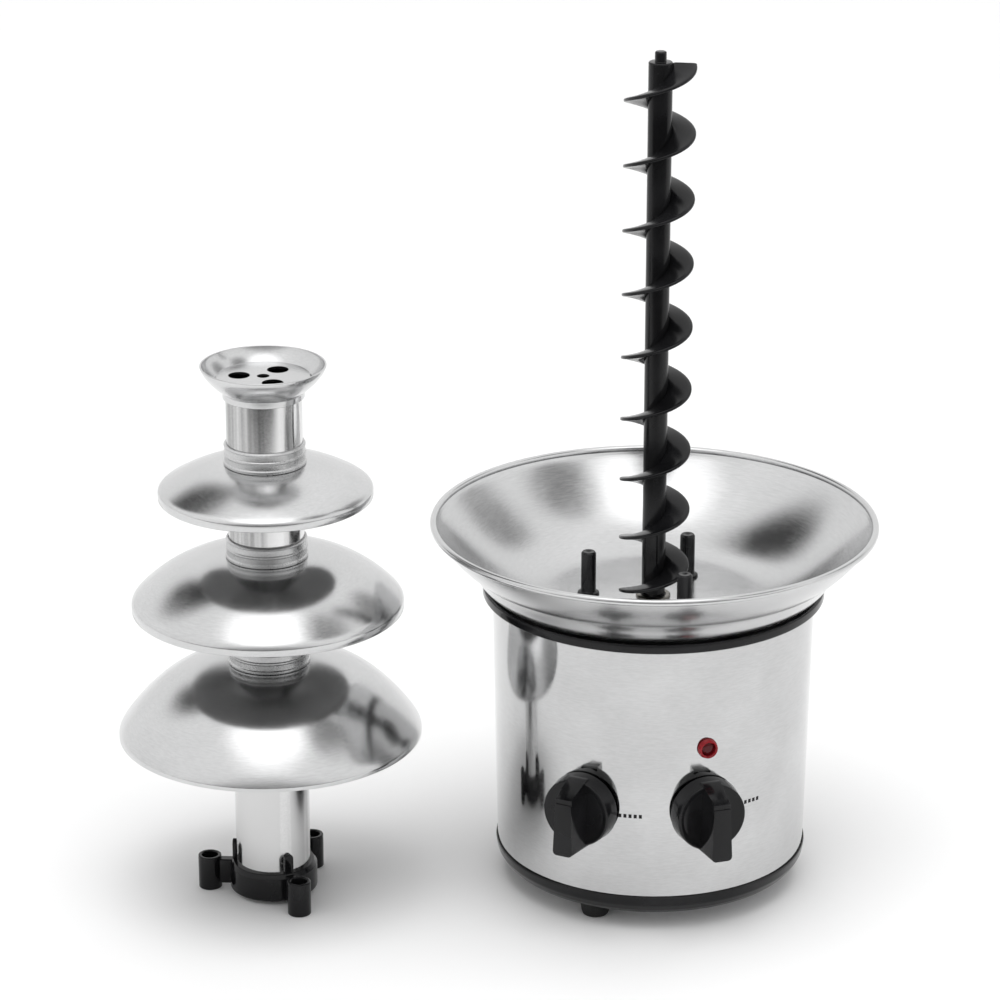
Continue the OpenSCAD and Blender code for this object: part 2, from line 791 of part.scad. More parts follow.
// Auger: a right-handed flight of tapered section wound tight on a plain core
function flight_angle(z) = flight_end_dir + (z - flight_end_z) / auger_pitch * 360;
flight_count = ceil((flight_end_z - flight_start_z) / auger_pitch * flight_steps);
flight_root_r = (auger_core_d / 2 + eps) / cos(180 / flight_steps);
flight_section = [
  [flight_root_r, -flight_root_t / 2], [auger_d / 2, -flight_tip_t / 2],
  [auger_d / 2, flight_tip_t / 2], [flight_root_r, flight_root_t / 2]
];
flight_points = [
  for (i = [0:flight_count])
    let (z = flight_start_z + (flight_end_z - flight_start_z) * i / flight_count, a = flight_angle(z))
    for (p = flight_section) [p[0] * cos(a), p[0] * sin(a), z + p[1] - flight_root_t / 2]
];
flight_last = 4 * flight_count;
flight_faces = concat(
  [[0, 1, 2], [0, 2, 3]],
  [for (i = [0:flight_count - 1], k = [0:3]) let (n = (k + 1) % 4) [4 * i + k, 4 * i + 4 + k, 4 * i + n]],
  [for (i = [0:flight_count - 1], k = [0:3]) let (n = (k + 1) % 4) [4 * i + n, 4 * i + 4 + k, 4 * i + 4 + n]],
  [[flight_last, flight_last + 2, flight_last + 1], [flight_last, flight_last + 3, flight_last + 2]]
);

module auger_core() {
  color(black) at_base() difference() {
    union() {
      bore(auger_core_d / 2, auger_z0, auger_z1);
      bore(pip_d / 2, auger_z1 - eps, auger_z1 + pip_len);
    }
    hexagon(hex_r + hex_gap, auger_z0 - 1, hex_z0 + hex_len + 0.3);
  }
}

module auger_flight() {
  color(black) at_base() polyhedron(flight_points, flight_faces, convexity = 10);
}

// Controls
module control_body(dir) {
  color([0.2, 0.2, 0.22]) at_panel(dir, knob_z) difference() {
    union() {
      translate([-switch_w / 2, -switch_w / 2, panel_r - switch_back - switch_depth])
        cube([switch_w, switch_w, switch_depth]);
      bore(switch_bush_r, panel_r - switch_back - eps, panel_r + 4.5);
      for (x = [-7, 5]) translate([x, -3, panel_r - switch_back - switch_depth - 6]) cube([2, 6, 7]);
    }
    bore(spindle_r + run_gap, panel_r - spindle_in - 1, panel_r + 6);
  }
}

module motor_switch() { control_body(motor_knob_dir); }
module heat_control() { control_body(heat_knob_dir); }

module panel_nuts() {
  color(zinc) for (dir = [motor_knob_dir, heat_knob_dir]) at_panel(dir, knob_z) difference() {
    hexagon(panel_nut_r, panel_r + 0.2, panel_r + 0.2 + panel_nut_t);
    bore(switch_bush_r + run_gap, panel_r - 1, panel_r + 5);
  }
}

module control_spindle(dir) {
  color(zinc) at_panel(dir, knob_z) bore(spindle_r, panel_r - spindle_in, panel_r + spindle_out);
}

module motor_spindle() { control_spindle(motor_knob_dir); }
module heat_spindle() { control_spindle(heat_knob_dir); }

// Side view of the grip bar: squared off below, notched across and sloping back above
knob_r = knob_d / 2;
bar_profile = [
  [-knob_r, bar_root], [-knob_r, bar_out - bar_edge], [-knob_r + bar_edge, bar_out],
  [notch_u, bar_out - bar_fall], [notch_u, bar_out - notch_depth],
  [notch_u + notch_w, bar_out - notch_depth], [notch_u + notch_w, bar_out - bar_fall],
  [knob_r - 0.4, bar_end], [knob_r - 0.4, bar_root]
];

module knob(dir) {
  color(black) at_panel(dir, knob_z) difference() {
    translate([0, 0, panel_r]) union() {
      translate([0, 0, knob_foot]) cylinder(r1 = knob_d / 2, r2 = drum_front_r, h = drum_h);
      rotate([90, 0, 90]) linear_extrude(bar_w, center = true) polygon(bar_profile);
    }
    bore(spindle_r, panel_r, panel_r + spindle_out + seat_gap);
    bore(knob_recess_r, panel_r, panel_r + knob_foot + knob_recess);
  }
}

module motor_knob() { knob(motor_knob_dir); }
module heat_knob() { knob(heat_knob_dir); }

module lamp_bezel() {
  color("firebrick") at_panel(lamp_dir, lamp_z) difference() {
    union() {
      translate([0, 0, lamp_panel_r + 0.2]) cylinder(r1 = lamp_r, r2 = lamp_r - 0.7, h = lamp_out);
      bore(lamp_body_r, lamp_panel_r - lamp_body_len, lamp_panel_r + 0.3);
    }
    bore(lamp_bore_r, lamp_panel_r - 6, lamp_panel_r + lamp_out + 1);
  }
}

module lamp_lens() {
  color("darkred") at_panel(lamp_dir, lamp_z)
    bore(lamp_bore_r - slip_gap, lamp_panel_r - 5.9, lamp_panel_r + lamp_out - 1.2);
}

module cord_gland() {
  gland_r = shell_r(gland_z);
  color(black) at_panel(180, gland_z) difference() {
    union() {
      translate([0, 0, gland_r + 0.5]) cylinder(r1 = gland_flange_r, r2 = gland_flange_r - 1, h = gland_out);
      bore(gland_body_r, gland_r - gland_in, gland_r + 1);
      hexagon(gland_flange_r + 1, gland_r - shell_t - 6, gland_r - shell_t - 1);
    }
    bore(gland_bore_r, gland_r - gland_in - 1, gland_r + gland_out + 2);
  }
}

module terminal_block() {
  block_w = 30;
  block_d = 14;
  block_h = 12;
  color("ivory") at_base() translate([-block_w / 2, 14, plate_z1]) difference() {
    cube([block_w, block_d, block_h]);
    for (i = [0:2]) {
      translate([5 + i * 10, block_d / 2, block_h - 6]) bore(2, 0, 8);
      translate([5 + i * 10, -1, 4]) rotate([-90, 0, 0]) bore(1.6, 0, block_d + 2);
    }
  }
}

// Tower
module tower_tube() {
  color(steel) at_tower() tube(tube_r, tube_in_r, tube_z0, tube_top);
}

// Dome of a tier: outer surface at off = 0, inner surface at off = tier_t
function dome_slope(q, span, h, power) = -h * power * pow(q, power - 1) / span;
function dome_point(q, r, z, h, power, off) =
  let (
    hole_r = tube_r + slip_gap,
    span = r - hole_r,
    slope = dome_slope(q, span, h, power),
    size = sqrt(1 + slope * slope)
  )
  [hole_r + span * q + off * slope / size, z + h * (1 - pow(q, power)) - off / size];

module tier(r, z, h, power) {
  spring_z = z + tier_lip;
  outer = [for (i = [0:tier_steps]) dome_point(i / tier_steps, r, spring_z, h, power, 0)];
  inner = [for (i = [tier_steps:-1:1]) dome_point(i / tier_steps, r, spring_z, h, power, tier_t)];
  color(steel) at_tower() rotate_extrude() polygon(concat(
    outer, [[r, z], [r - tier_t, z]], inner,
    [[tube_r + slip_gap, spring_z + h - tier_t]]
  ));
}

module tier_top() { tier(tier_d1 / 2, tier_z1, tier_h1, tier_power1); }
module tier_middle() { tier(tier_d2 / 2, tier_z2, tier_h2, tier_power2); }
module tier_bottom() { tier(tier_r3, tier_z3, tier_h3, tier_power3); }

module collar(z) {
  in_r = tube_r + run_gap;
  out_r = tube_r + collar_t;
  color(steel) at_tower() rotate_extrude() polygon([
    [in_r, z], [out_r + 0.5, z], [out_r + 0.5, z + 1.2], [out_r, z + 2], [out_r, z + collar_h - 1.4],
    [out_r + 0.3, z + collar_h - 0.9], [out_r - 0.4, z + collar_h], [in_r, z + collar_h]
  ]);
}

module collar_top() { collar(tier_z1 + tier_lip + tier_h1 + seat_gap); }
module collar_middle() { collar(tier_z2 + tier_lip + tier_h2 + seat_gap); }
module collar_bottom() { collar(tier_z3 + tier_lip + tier_h3 + seat_gap); }

// Crown: a sleeve on the tube's end that opens into a shallow cup
module crown_cup() {
  in_r = tube_r + run_gap;
  bead_r = in_r + crown_t + 0.4;
  neck_z = tube_top - crown_sleeve + 3;
  rim_z = tube_top + crown_rise;
  cup_floor_z = tube_top - 0.9;
  cup_steps = 8;
  // the wall leaves the bead at a slant and turns up towards the rim
  function cup(t) = [
    bead_r + (crown_r - bead_r) * (1 - pow(1 - t, 1.5)), neck_z + (rim_z - neck_z) * t
  ];
  floor_t = (cup_floor_z - neck_z) / (rim_z - neck_z);
  color(steel) at_tower() rotate_extrude() polygon(concat(
    [[in_r, tube_top - crown_sleeve], [bead_r, tube_top - crown_sleeve]],
    [for (i = [0:cup_steps]) cup(i / cup_steps)],
    [for (i = [cup_steps:-1:0]) let (t = floor_t + (1 - floor_t) * i / cup_steps)
      cup(t) - [crown_t * (1.4 - 0.4 * t), 0]],
    [[in_r, cup_floor_z]]
  ));
}

module auger_guide() {
  window_r0 = pip_d / 2 + 3.6;
  window_r1 = tube_in_r - 1;
  window_a = 84;
  color(steel) at_tower() difference() {
    bore(guide_r, tube_top + seat_gap, tube_top + seat_gap + guide_t);
    bore(pip_d / 2 + 0.2, tube_top - 1, tube_top + 3);
    for (i = [0:2]) rotate([0, 0, post_dir + i * 120 - window_a / 2]) rotate_extrude(angle = window_a)
      translate([window_r0, tube_top - 1]) square([window_r1 - window_r0, 4]);
  }
}

module tower_foot() {
  color(black) at_tower() difference() {
    union() {
      rotate_extrude() polygon([
        [tube_in_r, foot_collar_z0], [foot_collar_r - 0.6, foot_collar_z0], [foot_collar_r, foot_collar_z0 + 0.6],
        [foot_collar_r, foot_collar_z1], [foot_collar_r - 1.6, foot_step_z1], [tube_in_r, foot_step_z1]
      ]);
      ring_of(3, post_circle_r, post_dir) bore(socket_r, 0, socket_h);
      for (dir = post_dirs) rotate([0, 0, dir]) {
        translate([foot_collar_r - 2, -web_w / 2, web_z0])
          cube([post_circle_r - socket_r + 1.5 - foot_collar_r + 2, web_w, web_z1 - web_z0]);
        translate([tube_r - 1, 0, 0]) rotate([90, 0, 90]) linear_extrude(rib_t + 1) polygon(rib_outline);
      }
    }
    bore(tube_r + run_gap, tube_z0 - seat_gap, rib_z1 + rib_w);
    ring_of(3, post_circle_r, post_dir) bore(socket_bore_r, -1, socket_h + 1);
  }
}

housing_shell();
top_ring();
bottom_ring();
base_plate();
foot_front();
foot_right();
foot_rear();
foot_screws();
tie_rods();
bowl();
bowl_gasket();
post_left();
post_front();
post_rear();
shaft_bush();
bush_nut();
shaft_seal();
heater_plate();
heater_tube();
thermal_cutout();
bracket_standoffs();
motor_bracket();
bracket_screws();
gearbox_case();
gearbox_cover();
gearbox_screws();
idler_pin();
motor_can();
motor_end_cap();
motor_stator();
motor_coils();
motor_switch();
heat_control();
panel_nuts();
lamp_bezel();
lamp_lens();
cord_gland();
terminal_block();
drive_shaft();
output_gear();
auger_core();
auger_flight();
rotor();
motor_pinion();
idler_gear();
motor_knob();
motor_spindle();
heat_knob();
heat_spindle();
tower_tube();
tier_top();
tier_middle();
tier_bottom();
collar_top();
collar_middle();
collar_bottom();
crown_cup();
auger_guide();
tower_foot();
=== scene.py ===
import json
import math

import bmesh
import bpy
from mathutils import Matrix, Vector


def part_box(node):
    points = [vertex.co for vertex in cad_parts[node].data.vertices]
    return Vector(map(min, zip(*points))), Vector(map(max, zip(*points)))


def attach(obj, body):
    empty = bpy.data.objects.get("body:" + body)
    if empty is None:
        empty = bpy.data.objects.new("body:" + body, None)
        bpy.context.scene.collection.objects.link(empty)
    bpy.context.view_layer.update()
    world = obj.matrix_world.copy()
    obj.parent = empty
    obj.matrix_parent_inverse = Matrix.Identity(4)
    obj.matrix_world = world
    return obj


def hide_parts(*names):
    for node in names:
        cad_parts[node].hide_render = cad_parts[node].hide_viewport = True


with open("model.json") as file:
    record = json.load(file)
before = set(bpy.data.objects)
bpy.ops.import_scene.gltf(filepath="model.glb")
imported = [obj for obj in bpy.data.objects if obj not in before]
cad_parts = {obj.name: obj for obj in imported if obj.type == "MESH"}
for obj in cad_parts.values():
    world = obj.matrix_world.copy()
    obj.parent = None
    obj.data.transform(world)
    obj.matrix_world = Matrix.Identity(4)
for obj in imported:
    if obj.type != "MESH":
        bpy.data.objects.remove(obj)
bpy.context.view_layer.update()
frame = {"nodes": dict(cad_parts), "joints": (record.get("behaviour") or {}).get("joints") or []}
nodes = frame["nodes"]
scene = bpy.context.scene
mm = 0.001
tiny = 1e-6
lengthwise = 0.012  # how little the polish lines and the painted reflection streaks change along their own length
fullTurn = 2 * math.pi
print("frame loaded:", len(nodes), "nodes")


# places read from the frame, in millimetres

def nodeBox(name):
    low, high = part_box(name)
    return low / mm, high / mm


def axisOf(name):
    low, high = nodeBox(name)
    return Vector(((low.x + high.x) / 2, (low.y + high.y) / 2, 0))


def radiusOf(name):
    low, high = nodeBox(name)
    return (high.y - low.y) / 2


baseAxis = axisOf("bowl")
towerAxis = axisOf("tower_tube")
basePlace = Matrix.Translation(baseAxis)
towerPlace = Matrix.Translation(towerAxis)
shellLow, shellHigh = nodeBox("housing_shell")
# each hole: direction in degrees, height and radius; cutIn and cutOut are the cutters' reach
housing = {"lowRadius": 76.6, "highRadius": radiusOf("housing_shell"), "sheet": 0.8, "rows": 24,
           "cutIn": 6, "cutOut": 3,
           "holes": [(-26.5, 65.0, 5.2), (17.5, 65.0, 5.2), (17.8, 97.6, 4.1), (180.0, 36.0, 6.1)]}


def shellRadius(z):
    share = (z - shellLow.z) / (shellHigh.z - shellLow.z)
    return housing["lowRadius"] + (housing["highRadius"] - housing["lowRadius"]) * share


def panelPlace(direction, z):
    # local Z points out of the shell and starts on it, local Y is up
    turn = Matrix.Rotation(math.radians(direction), 4, "Z") @ Matrix.Rotation(math.radians(90), 4, "X")
    return basePlace @ Matrix.Translation((0, 0, z)) @ turn @ Matrix.Translation((0, 0, shellRadius(z)))


# building blocks of the node trees

def addNode(tree, kind, **values):
    node = tree.nodes.new(kind)
    for key, value in values.items():
        setattr(node, key, value)
    return node


def feed(tree, target, value):
    if isinstance(value, bpy.types.NodeSocket):
        tree.links.new(value, target)
    elif value is not None:
        target.default_value = value


def wired(tree, kind, inputs, **values):
    # a node with its inputs, by name or number, linked or set
    node = addNode(tree, kind, **values)
    for label, value in inputs.items():
        feed(tree, node.inputs[label], value)
    return node


def calc(tree, operation, *values):
    return wired(tree, "ShaderNodeMath", dict(enumerate(values)), operation=operation).outputs[0]


def splitVector(tree, vector):
    return wired(tree, "ShaderNodeSeparateXYZ", {0: vector}).outputs


def joinVector(tree, x=None, y=None, z=None):
    return wired(tree, "ShaderNodeCombineXYZ", {0: x, 1: y, 2: z}).outputs[0]


def newGroup(name, inputs, outputs, treeType="ShaderNodeTree"):
    group = bpy.data.node_groups.new(name, treeType)
    for label, kind, value in inputs:
        socket = group.interface.new_socket(label, in_out="INPUT", socket_type=kind)
        if value is not None:
            socket.default_value = value
    for label, kind in outputs:
        group.interface.new_socket(label, in_out="OUTPUT", socket_type=kind)
    start = group.nodes.new("NodeGroupInput")
    end = group.nodes.new("NodeGroupOutput")
    return group, start, end


def noise(tree, vector, scale, detail=2.0, roughness=0.5):
    inputs = {"Vector": vector, "Scale": scale, "Detail": detail, "Roughness": roughness}
    return wired(tree, "ShaderNodeTexNoise", inputs).outputs["Fac"]


def spread(tree, value, low, high, toLow=0.0, toHigh=1.0):
    inputs = dict(enumerate((value, low, high, toLow, toHigh)))
    return wired(tree, "ShaderNodeMapRange", inputs, interpolation_type="SMOOTHSTEP").outputs["Result"]


def moved(tree, geometry, position):
    inputs = {"Geometry": geometry, "Position": position}
    return wired(tree, "GeometryNodeSetPosition", inputs).outputs[0]


def merged(tree, geometry):
    inputs = {"Geometry": geometry, "Distance": tiny}
    return wired(tree, "GeometryNodeMergeByDistance", inputs).outputs[0]


def realized(tree, geometry):
    return wired(tree, "GeometryNodeRealizeInstances", {0: geometry}).outputs[0]


def closeTree(tree, geometry, material, end):
    inputs = {"Geometry": realized(tree, geometry), "Material": material}
    tree.links.new(wired(tree, "GeometryNodeSetMaterial", inputs).outputs[0], end.inputs[0])


def buildPolishGroup():
    # spun or rolled marks: fine lines of one radius and height, with soft cloudy patches over them
    group, start, end = newGroup(
        "polish marks",
        [("Vector", "NodeSocketVector", None), ("Line Scale", "NodeSocketFloat", 900.0),
         ("Cloud Scale", "NodeSocketFloat", 30.0)],
        [("Lines", "NodeSocketFloat"), ("Cloud", "NodeSocketFloat"), ("Height", "NodeSocketFloat")])
    given = start.outputs
    x, y, z = splitVector(group, given["Vector"])
    flat = calc(group, "ADD", calc(group, "MULTIPLY", x, x), calc(group, "MULTIPLY", y, y))
    around = calc(group, "MULTIPLY", calc(group, "ARCTAN2", y, x), lengthwise)
    ring = joinVector(group, calc(group, "SQRT", flat), z, around)
    lines = noise(group, ring, given["Line Scale"], detail=3.0, roughness=0.6)
    cloud = noise(group, given["Vector"], given["Cloud Scale"], detail=3.0, roughness=0.55)
    feed(group, end.inputs["Lines"], spread(group, lines, 0.3, 0.7))
    feed(group, end.inputs["Cloud"], spread(group, cloud, 0.35, 0.68))
    feed(group, end.inputs["Height"], lines)
    return group


def buildSmudgeGroup():
    # faint wiped patches left by hands and cloths
    group, start, end = newGroup(
        "wiped smudges",
        [("Vector", "NodeSocketVector", None), ("Scale", "NodeSocketFloat", 18.0),
         ("Amount", "NodeSocketFloat", 0.5)],
        [("Mask", "NodeSocketFloat")])
    given = start.outputs
    warp = noise(group, given["Vector"], calc(group, "MULTIPLY", given["Scale"], 2.3), detail=1.0)
    shift = calc(group, "MULTIPLY", warp, 0.03)
    shifted = wired(group, "ShaderNodeVectorMath", {0: given["Vector"], 1: shift}, operation="ADD")
    patch = noise(group, shifted.outputs[0], given["Scale"], detail=4.0, roughness=0.62)
    mask = calc(group, "MULTIPLY", spread(group, patch, 0.5, 0.72), given["Amount"])
    feed(group, end.inputs["Mask"], mask)
    return group


def buildMouldGroup():
    # the faint orange-peel of a moulded skin, with slow changes of gloss
    group, start, end = newGroup(
        "moulded skin",
        [("Vector", "NodeSocketVector", None), ("Peel Scale", "NodeSocketFloat", 900.0),
         ("Gloss Scale", "NodeSocketFloat", 60.0)],
        [("Gloss", "NodeSocketFloat"), ("Height", "NodeSocketFloat")])
    given = start.outputs
    peel = noise(group, given["Vector"], given["Peel Scale"])
    gloss = noise(group, given["Vector"], given["Gloss Scale"], detail=3.0)
    feed(group, end.inputs["Gloss"], spread(group, gloss, 0.3, 0.7))
    feed(group, end.inputs["Height"], peel)
    return group


def buildReflectionStreakGroup():
    # long vertical streaks of painted reflection: dark and light bands that stand in for the room mirrored
    # along the tube's height
    group, start, end = newGroup(
        "painted reflection streaks",
        [("Vector", "NodeSocketVector", None), ("Scale", "NodeSocketFloat", 180.0)],
        [("Streak", "NodeSocketFloat")])
    stretch = {0: start.outputs["Vector"], 1: (1, 1, lengthwise)}
    flat = wired(group, "ShaderNodeVectorMath", stretch, operation="MULTIPLY")
    streak = noise(group, flat.outputs[0], start.outputs["Scale"], roughness=0.6)
    feed(group, end.inputs["Streak"], spread(group, streak, 0.36, 0.62))
    return group


polishGroup = buildPolishGroup()
smudgeGroup = buildSmudgeGroup()
mouldGroup = buildMouldGroup()
reflectionStreakGroup = buildReflectionStreakGroup()
print("shader groups built")


def placeGroup(tree, group, vector, **values):
    node = addNode(tree, "ShaderNodeGroup", node_tree=group)
    feed(tree, node.inputs["Vector"], vector)
    for label, value in values.items():
        node.inputs[label.replace("_", " ")].default_value = value
    return node


def newMaterial(name, centre):
    material = bpy.data.materials.new(name)
    material.use_nodes = True
    tree = material.node_tree
    shader = tree.nodes["Principled BSDF"]
    coords = addNode(tree, "ShaderNodeTexCoord").outputs["Object"]
    centred = wired(tree, "ShaderNodeMapping", {"Location": -centre * mm, "Vector": coords})
    return material, tree, shader, centred.outputs["Vector"]


def blendColours(tree, share, low, high):
    inputs = {"Factor": share}
    for label, colour in (("A", low), ("B", high)):
        inputs[label] = colour if isinstance(colour, bpy.types.NodeSocket) else (*colour, 1)
    return wired(tree, "ShaderNodeMix", inputs, data_type="RGBA").outputs["Result"]


def giveBump(tree, shader, height, strength, distance):
    inputs = {"Strength": strength, "Distance": distance * mm, "Height": height}
    tree.links.new(wired(tree, "ShaderNodeBump", inputs).outputs["Normal"], shader.inputs["Normal"])


def sheetSteel(name, centre, look):
    material, tree, shader, vector = newMaterial(name, centre)
    marks = placeGroup(tree, polishGroup, vector, Line_Scale=look["lines"], Cloud_Scale=look["clouds"])
    smudge = placeGroup(tree, smudgeGroup, vector, Scale=look["smudges"], Amount=look["smudge"])
    shader.inputs["Metallic"].default_value = 1.0
    cloud = marks.outputs["Cloud"]
    tint = calc(tree, "MULTIPLY_ADD", marks.outputs["Lines"], 0.5, calc(tree, "MULTIPLY", cloud, 0.5))
    if "streaks" in look:
        streak = placeGroup(tree, reflectionStreakGroup, vector, Scale=look["streaks"]).outputs["Streak"]
        share = look["streakShare"]
        tint = calc(tree, "MULTIPLY_ADD", streak, share, calc(tree, "MULTIPLY", tint, 1 - share))
        # the painted reflection streaks fade to a plain pale tone towards the tube's foot
        plain = spread(tree, splitVector(tree, vector)[2], *look["fade"], look["plain"], 0.0)
        tint = calc(tree, "MAXIMUM", tint, plain)
    colour = blendColours(tree, tint, look["dark"], look["light"])
    rough = spread(tree, cloud, 0.0, 1.0, *look["rough"])
    rough = calc(tree, "MULTIPLY_ADD", marks.outputs["Lines"], look["lineRough"], rough)
    rough = calc(tree, "MULTIPLY_ADD", smudge.outputs["Mask"], look["smudgeRough"], rough)
    if "inside" in look:
        # painted shade: the undersides of the tiers get a dark colour where little light reaches under the
        # domes; the added roughness is their unpolished sheet
        inside = addNode(tree, "ShaderNodeAttribute", attribute_name="inside").outputs["Fac"]
        colour = blendColours(tree, inside, colour, look["inside"])
        rough = calc(tree, "MULTIPLY_ADD", inside, look["insideRough"], rough)
    tree.links.new(colour, shader.inputs["Base Color"])
    tree.links.new(rough, shader.inputs["Roughness"])
    giveBump(tree, shader, marks.outputs["Height"], look["bump"], look["bumpDepth"])
    return material


def mouldedPlastic(name, centre, look):
    material, tree, shader, vector = newMaterial(name, centre)
    skin = placeGroup(tree, mouldGroup, vector, Peel_Scale=look["peel"], Gloss_Scale=look["glossScale"])
    smudge = placeGroup(tree, smudgeGroup, vector, Scale=look["smudges"], Amount=look["smudge"])
    shader.inputs["Specular IOR Level"].default_value = look["mirror"]
    colour = blendColours(tree, skin.outputs["Gloss"], look["dark"], look["light"])
    tree.links.new(colour, shader.inputs["Base Color"])
    rough = spread(tree, skin.outputs["Gloss"], 0.0, 1.0, *look["rough"])
    rough = calc(tree, "MULTIPLY_ADD", smudge.outputs["Mask"], look["smudgeRough"], rough)
    tree.links.new(rough, shader.inputs["Roughness"])
    giveBump(tree, shader, skin.outputs["Height"], look["bump"], look["bumpDepth"])
    return material


mirrorLook = {
    "lines": 1500.0, "clouds": 25.0, "smudges": 22.0, "smudge": 0.5,
    "dark": (0.57, 0.572, 0.575), "light": (0.66, 0.662, 0.665),
    "rough": (0.16, 0.22), "lineRough": 0.03, "smudgeRough": 0.06, "bump": 0.015, "bumpDepth": 0.05}
# the inside colour is painted shade under the tiers; insideRough is the duller unpolished underside
towerLook = dict(mirrorLook, inside=(0.22, 0.22, 0.22), insideRough=0.2)
# the tube's dark and light colours span its painted reflection streaks
tubeLook = dict(mirrorLook, rough=(0.1, 0.16), streaks=150.0, streakShare=0.75, fade=(0.08, 0.2), plain=0.7,
                dark=(0.24, 0.24, 0.24), light=(0.78, 0.78, 0.78))
shellLook = dict(mirrorLook, rough=(0.05, 0.09), lineRough=0.03, smudgeRough=0.05, bump=0.01,
                 dark=(0.5, 0.501, 0.503), light=(0.6, 0.602, 0.604))
collarLook = dict(mirrorLook, rough=(0.2, 0.3), lineRough=0.12, bump=0.25, dark=(0.46, 0.46, 0.46))
zincLook = dict(mirrorLook, rough=(0.3, 0.45), dark=(0.5, 0.5, 0.5), light=(0.62, 0.62, 0.63))
blackLook = {
    "peel": 700.0, "glossScale": 45.0, "smudges": 40.0, "smudge": 0.6,
    "dark": (0.004, 0.004, 0.0045), "light": (0.010, 0.010, 0.011),
    "rough": (0.1, 0.17), "smudgeRough": 0.1, "bump": 0.04, "bumpDepth": 0.04, "mirror": 0.26}
rubberLook = dict(blackLook, rough=(0.5, 0.65), bump=0.3, light=(0.022, 0.022, 0.022))
naturalLook = dict(blackLook, dark=(0.66, 0.63, 0.55), light=(0.78, 0.76, 0.68), rough=(0.4, 0.55))

steels = {
    "shell": sheetSteel("housing sheet", baseAxis, shellLook),
    "bowl": sheetSteel("bowl sheet", baseAxis, mirrorLook),
    "tower": sheetSteel("tower sheet", towerAxis, towerLook),
    "tube": sheetSteel("tube steel with painted reflections", towerAxis, tubeLook),
    "collar": sheetSteel("collar sheet", towerAxis, collarLook),
    "zinc": sheetSteel("zinc plated steel", baseAxis, zincLook),
}
plastics = {
    "black": mouldedPlastic("black moulding", baseAxis, blackLook),
    "foot": mouldedPlastic("tower foot moulding", towerAxis, blackLook),
    "auger": mouldedPlastic("auger moulding", baseAxis, dict(blackLook, rough=(0.14, 0.24))),
    "rubber": mouldedPlastic("black rubber", baseAxis, rubberLook),
    "natural": mouldedPlastic("natural moulding", baseAxis, naturalLook),
    "resin": mouldedPlastic("brown resin", baseAxis, dict(
        naturalLook, dark=(0.32, 0.22, 0.12), light=(0.42, 0.3, 0.18))),
    "red": mouldedPlastic("red lamp moulding", baseAxis, dict(
        blackLook, dark=(0.2, 0.006, 0.01), light=(0.32, 0.012, 0.018), rough=(0.08, 0.16))),
    "lens": mouldedPlastic("dark red lens", baseAxis, dict(
        blackLook, dark=(0.07, 0.004, 0.006), light=(0.13, 0.008, 0.012), rough=(0.06, 0.12))),
    "print": mouldedPlastic("printed mark", baseAxis, dict(blackLook, rough=(0.45, 0.6))),
}
metals = {
    "brass": sheetSteel("turned brass", baseAxis, dict(
        zincLook, dark=(0.55, 0.38, 0.14), light=(0.72, 0.52, 0.22), rough=(0.2, 0.32))),
    "plated": sheetSteel("plated brass", baseAxis, dict(
        zincLook, dark=(0.17, 0.16, 0.145), light=(0.25, 0.24, 0.215), rough=(0.2, 0.32))),
    "copper": sheetSteel("varnished copper", baseAxis, dict(
        zincLook, dark=(0.42, 0.17, 0.07), light=(0.6, 0.28, 0.13))),
    "aluminium": sheetSteel("cast aluminium", baseAxis, dict(
        zincLook, dark=(0.6, 0.6, 0.61), light=(0.75, 0.75, 0.76), rough=(0.35, 0.5))),
    "sheath": sheetSteel("dull heater sheath", baseAxis, dict(
        zincLook, dark=(0.14, 0.14, 0.14), light=(0.22, 0.22, 0.22))),
}
print("materials built:", len(steels) + len(plastics) + len(metals))


# mesh building blocks, all in millimetres

almostStraight = math.radians(88)  # half the angle at a corner that needs no fillet
mostOfSide = 0.49  # share of a side that a fillet may take


def rounded(corners, steps=6):
    # each corner is (radius, height, fillet) and becomes an arc that touches both its sides
    points = []
    for index, (r, z, fillet) in enumerate(corners):
        here = Vector((r, z))
        before = Vector(corners[index - 1][:2]) - here
        after = Vector(corners[(index + 1) % len(corners)][:2]) - here
        short = before.length * after.length < 1e-9
        half = 0 if short else before.angle(after) / 2
        if fillet <= 0 or short or half > almostStraight:
            points.append(here)
            continue
        reach = min(fillet / math.tan(half), mostOfSide * before.length, mostOfSide * after.length)
        radius = reach * math.tan(half)
        centre = here + (before.normalized() + after.normalized()).normalized() * radius / math.sin(half)
        start = here + before.normalized() * reach - centre
        end = here + after.normalized() * reach - centre
        sweep = math.atan2(start.x * end.y - start.y * end.x, start.dot(end))
        for step in range(steps + 1):
            points.append(centre + Matrix.Rotation(sweep * step / steps, 2) @ start)
    return points


def arc(centre, radius, fromAngle, toAngle, steps):
    points = []
    for step in range(steps + 1):
        angle = math.radians(fromAngle + (toAngle - fromAngle) * step / steps)
        points.append(Vector((centre[0] + radius * math.cos(angle), centre[1] + radius * math.sin(angle))))
    return points


def bend(before, fold, after, steps):
    # a curve that leaves and meets the two sides of a fold along them
    shares = [k / steps for k in range(steps + 1)]
    return [before * (1 - t) ** 2 + fold * 2 * t * (1 - t) + after * t * t for t in shares]


def meshFrom(work, name, material, sharpAngle=35):
    mesh = bpy.data.meshes.new(name)
    bmesh.ops.recalc_face_normals(work, faces=work.faces)
    work.to_mesh(mesh)
    work.free()
    mesh.transform(Matrix.Scale(mm, 4))
    return meshPiece(mesh, name, material, sharpAngle)


def meshPiece(mesh, name, material, sharpAngle=35):
    mesh.name = name
    mesh.polygons.foreach_set("use_smooth", [True] * len(mesh.polygons))
    mesh.set_sharp_from_angle(angle=math.radians(sharpAngle))
    mesh.materials.clear()
    mesh.materials.append(material)
    piece = bpy.data.objects.new(name, mesh)
    scene.collection.objects.link(piece)
    return piece


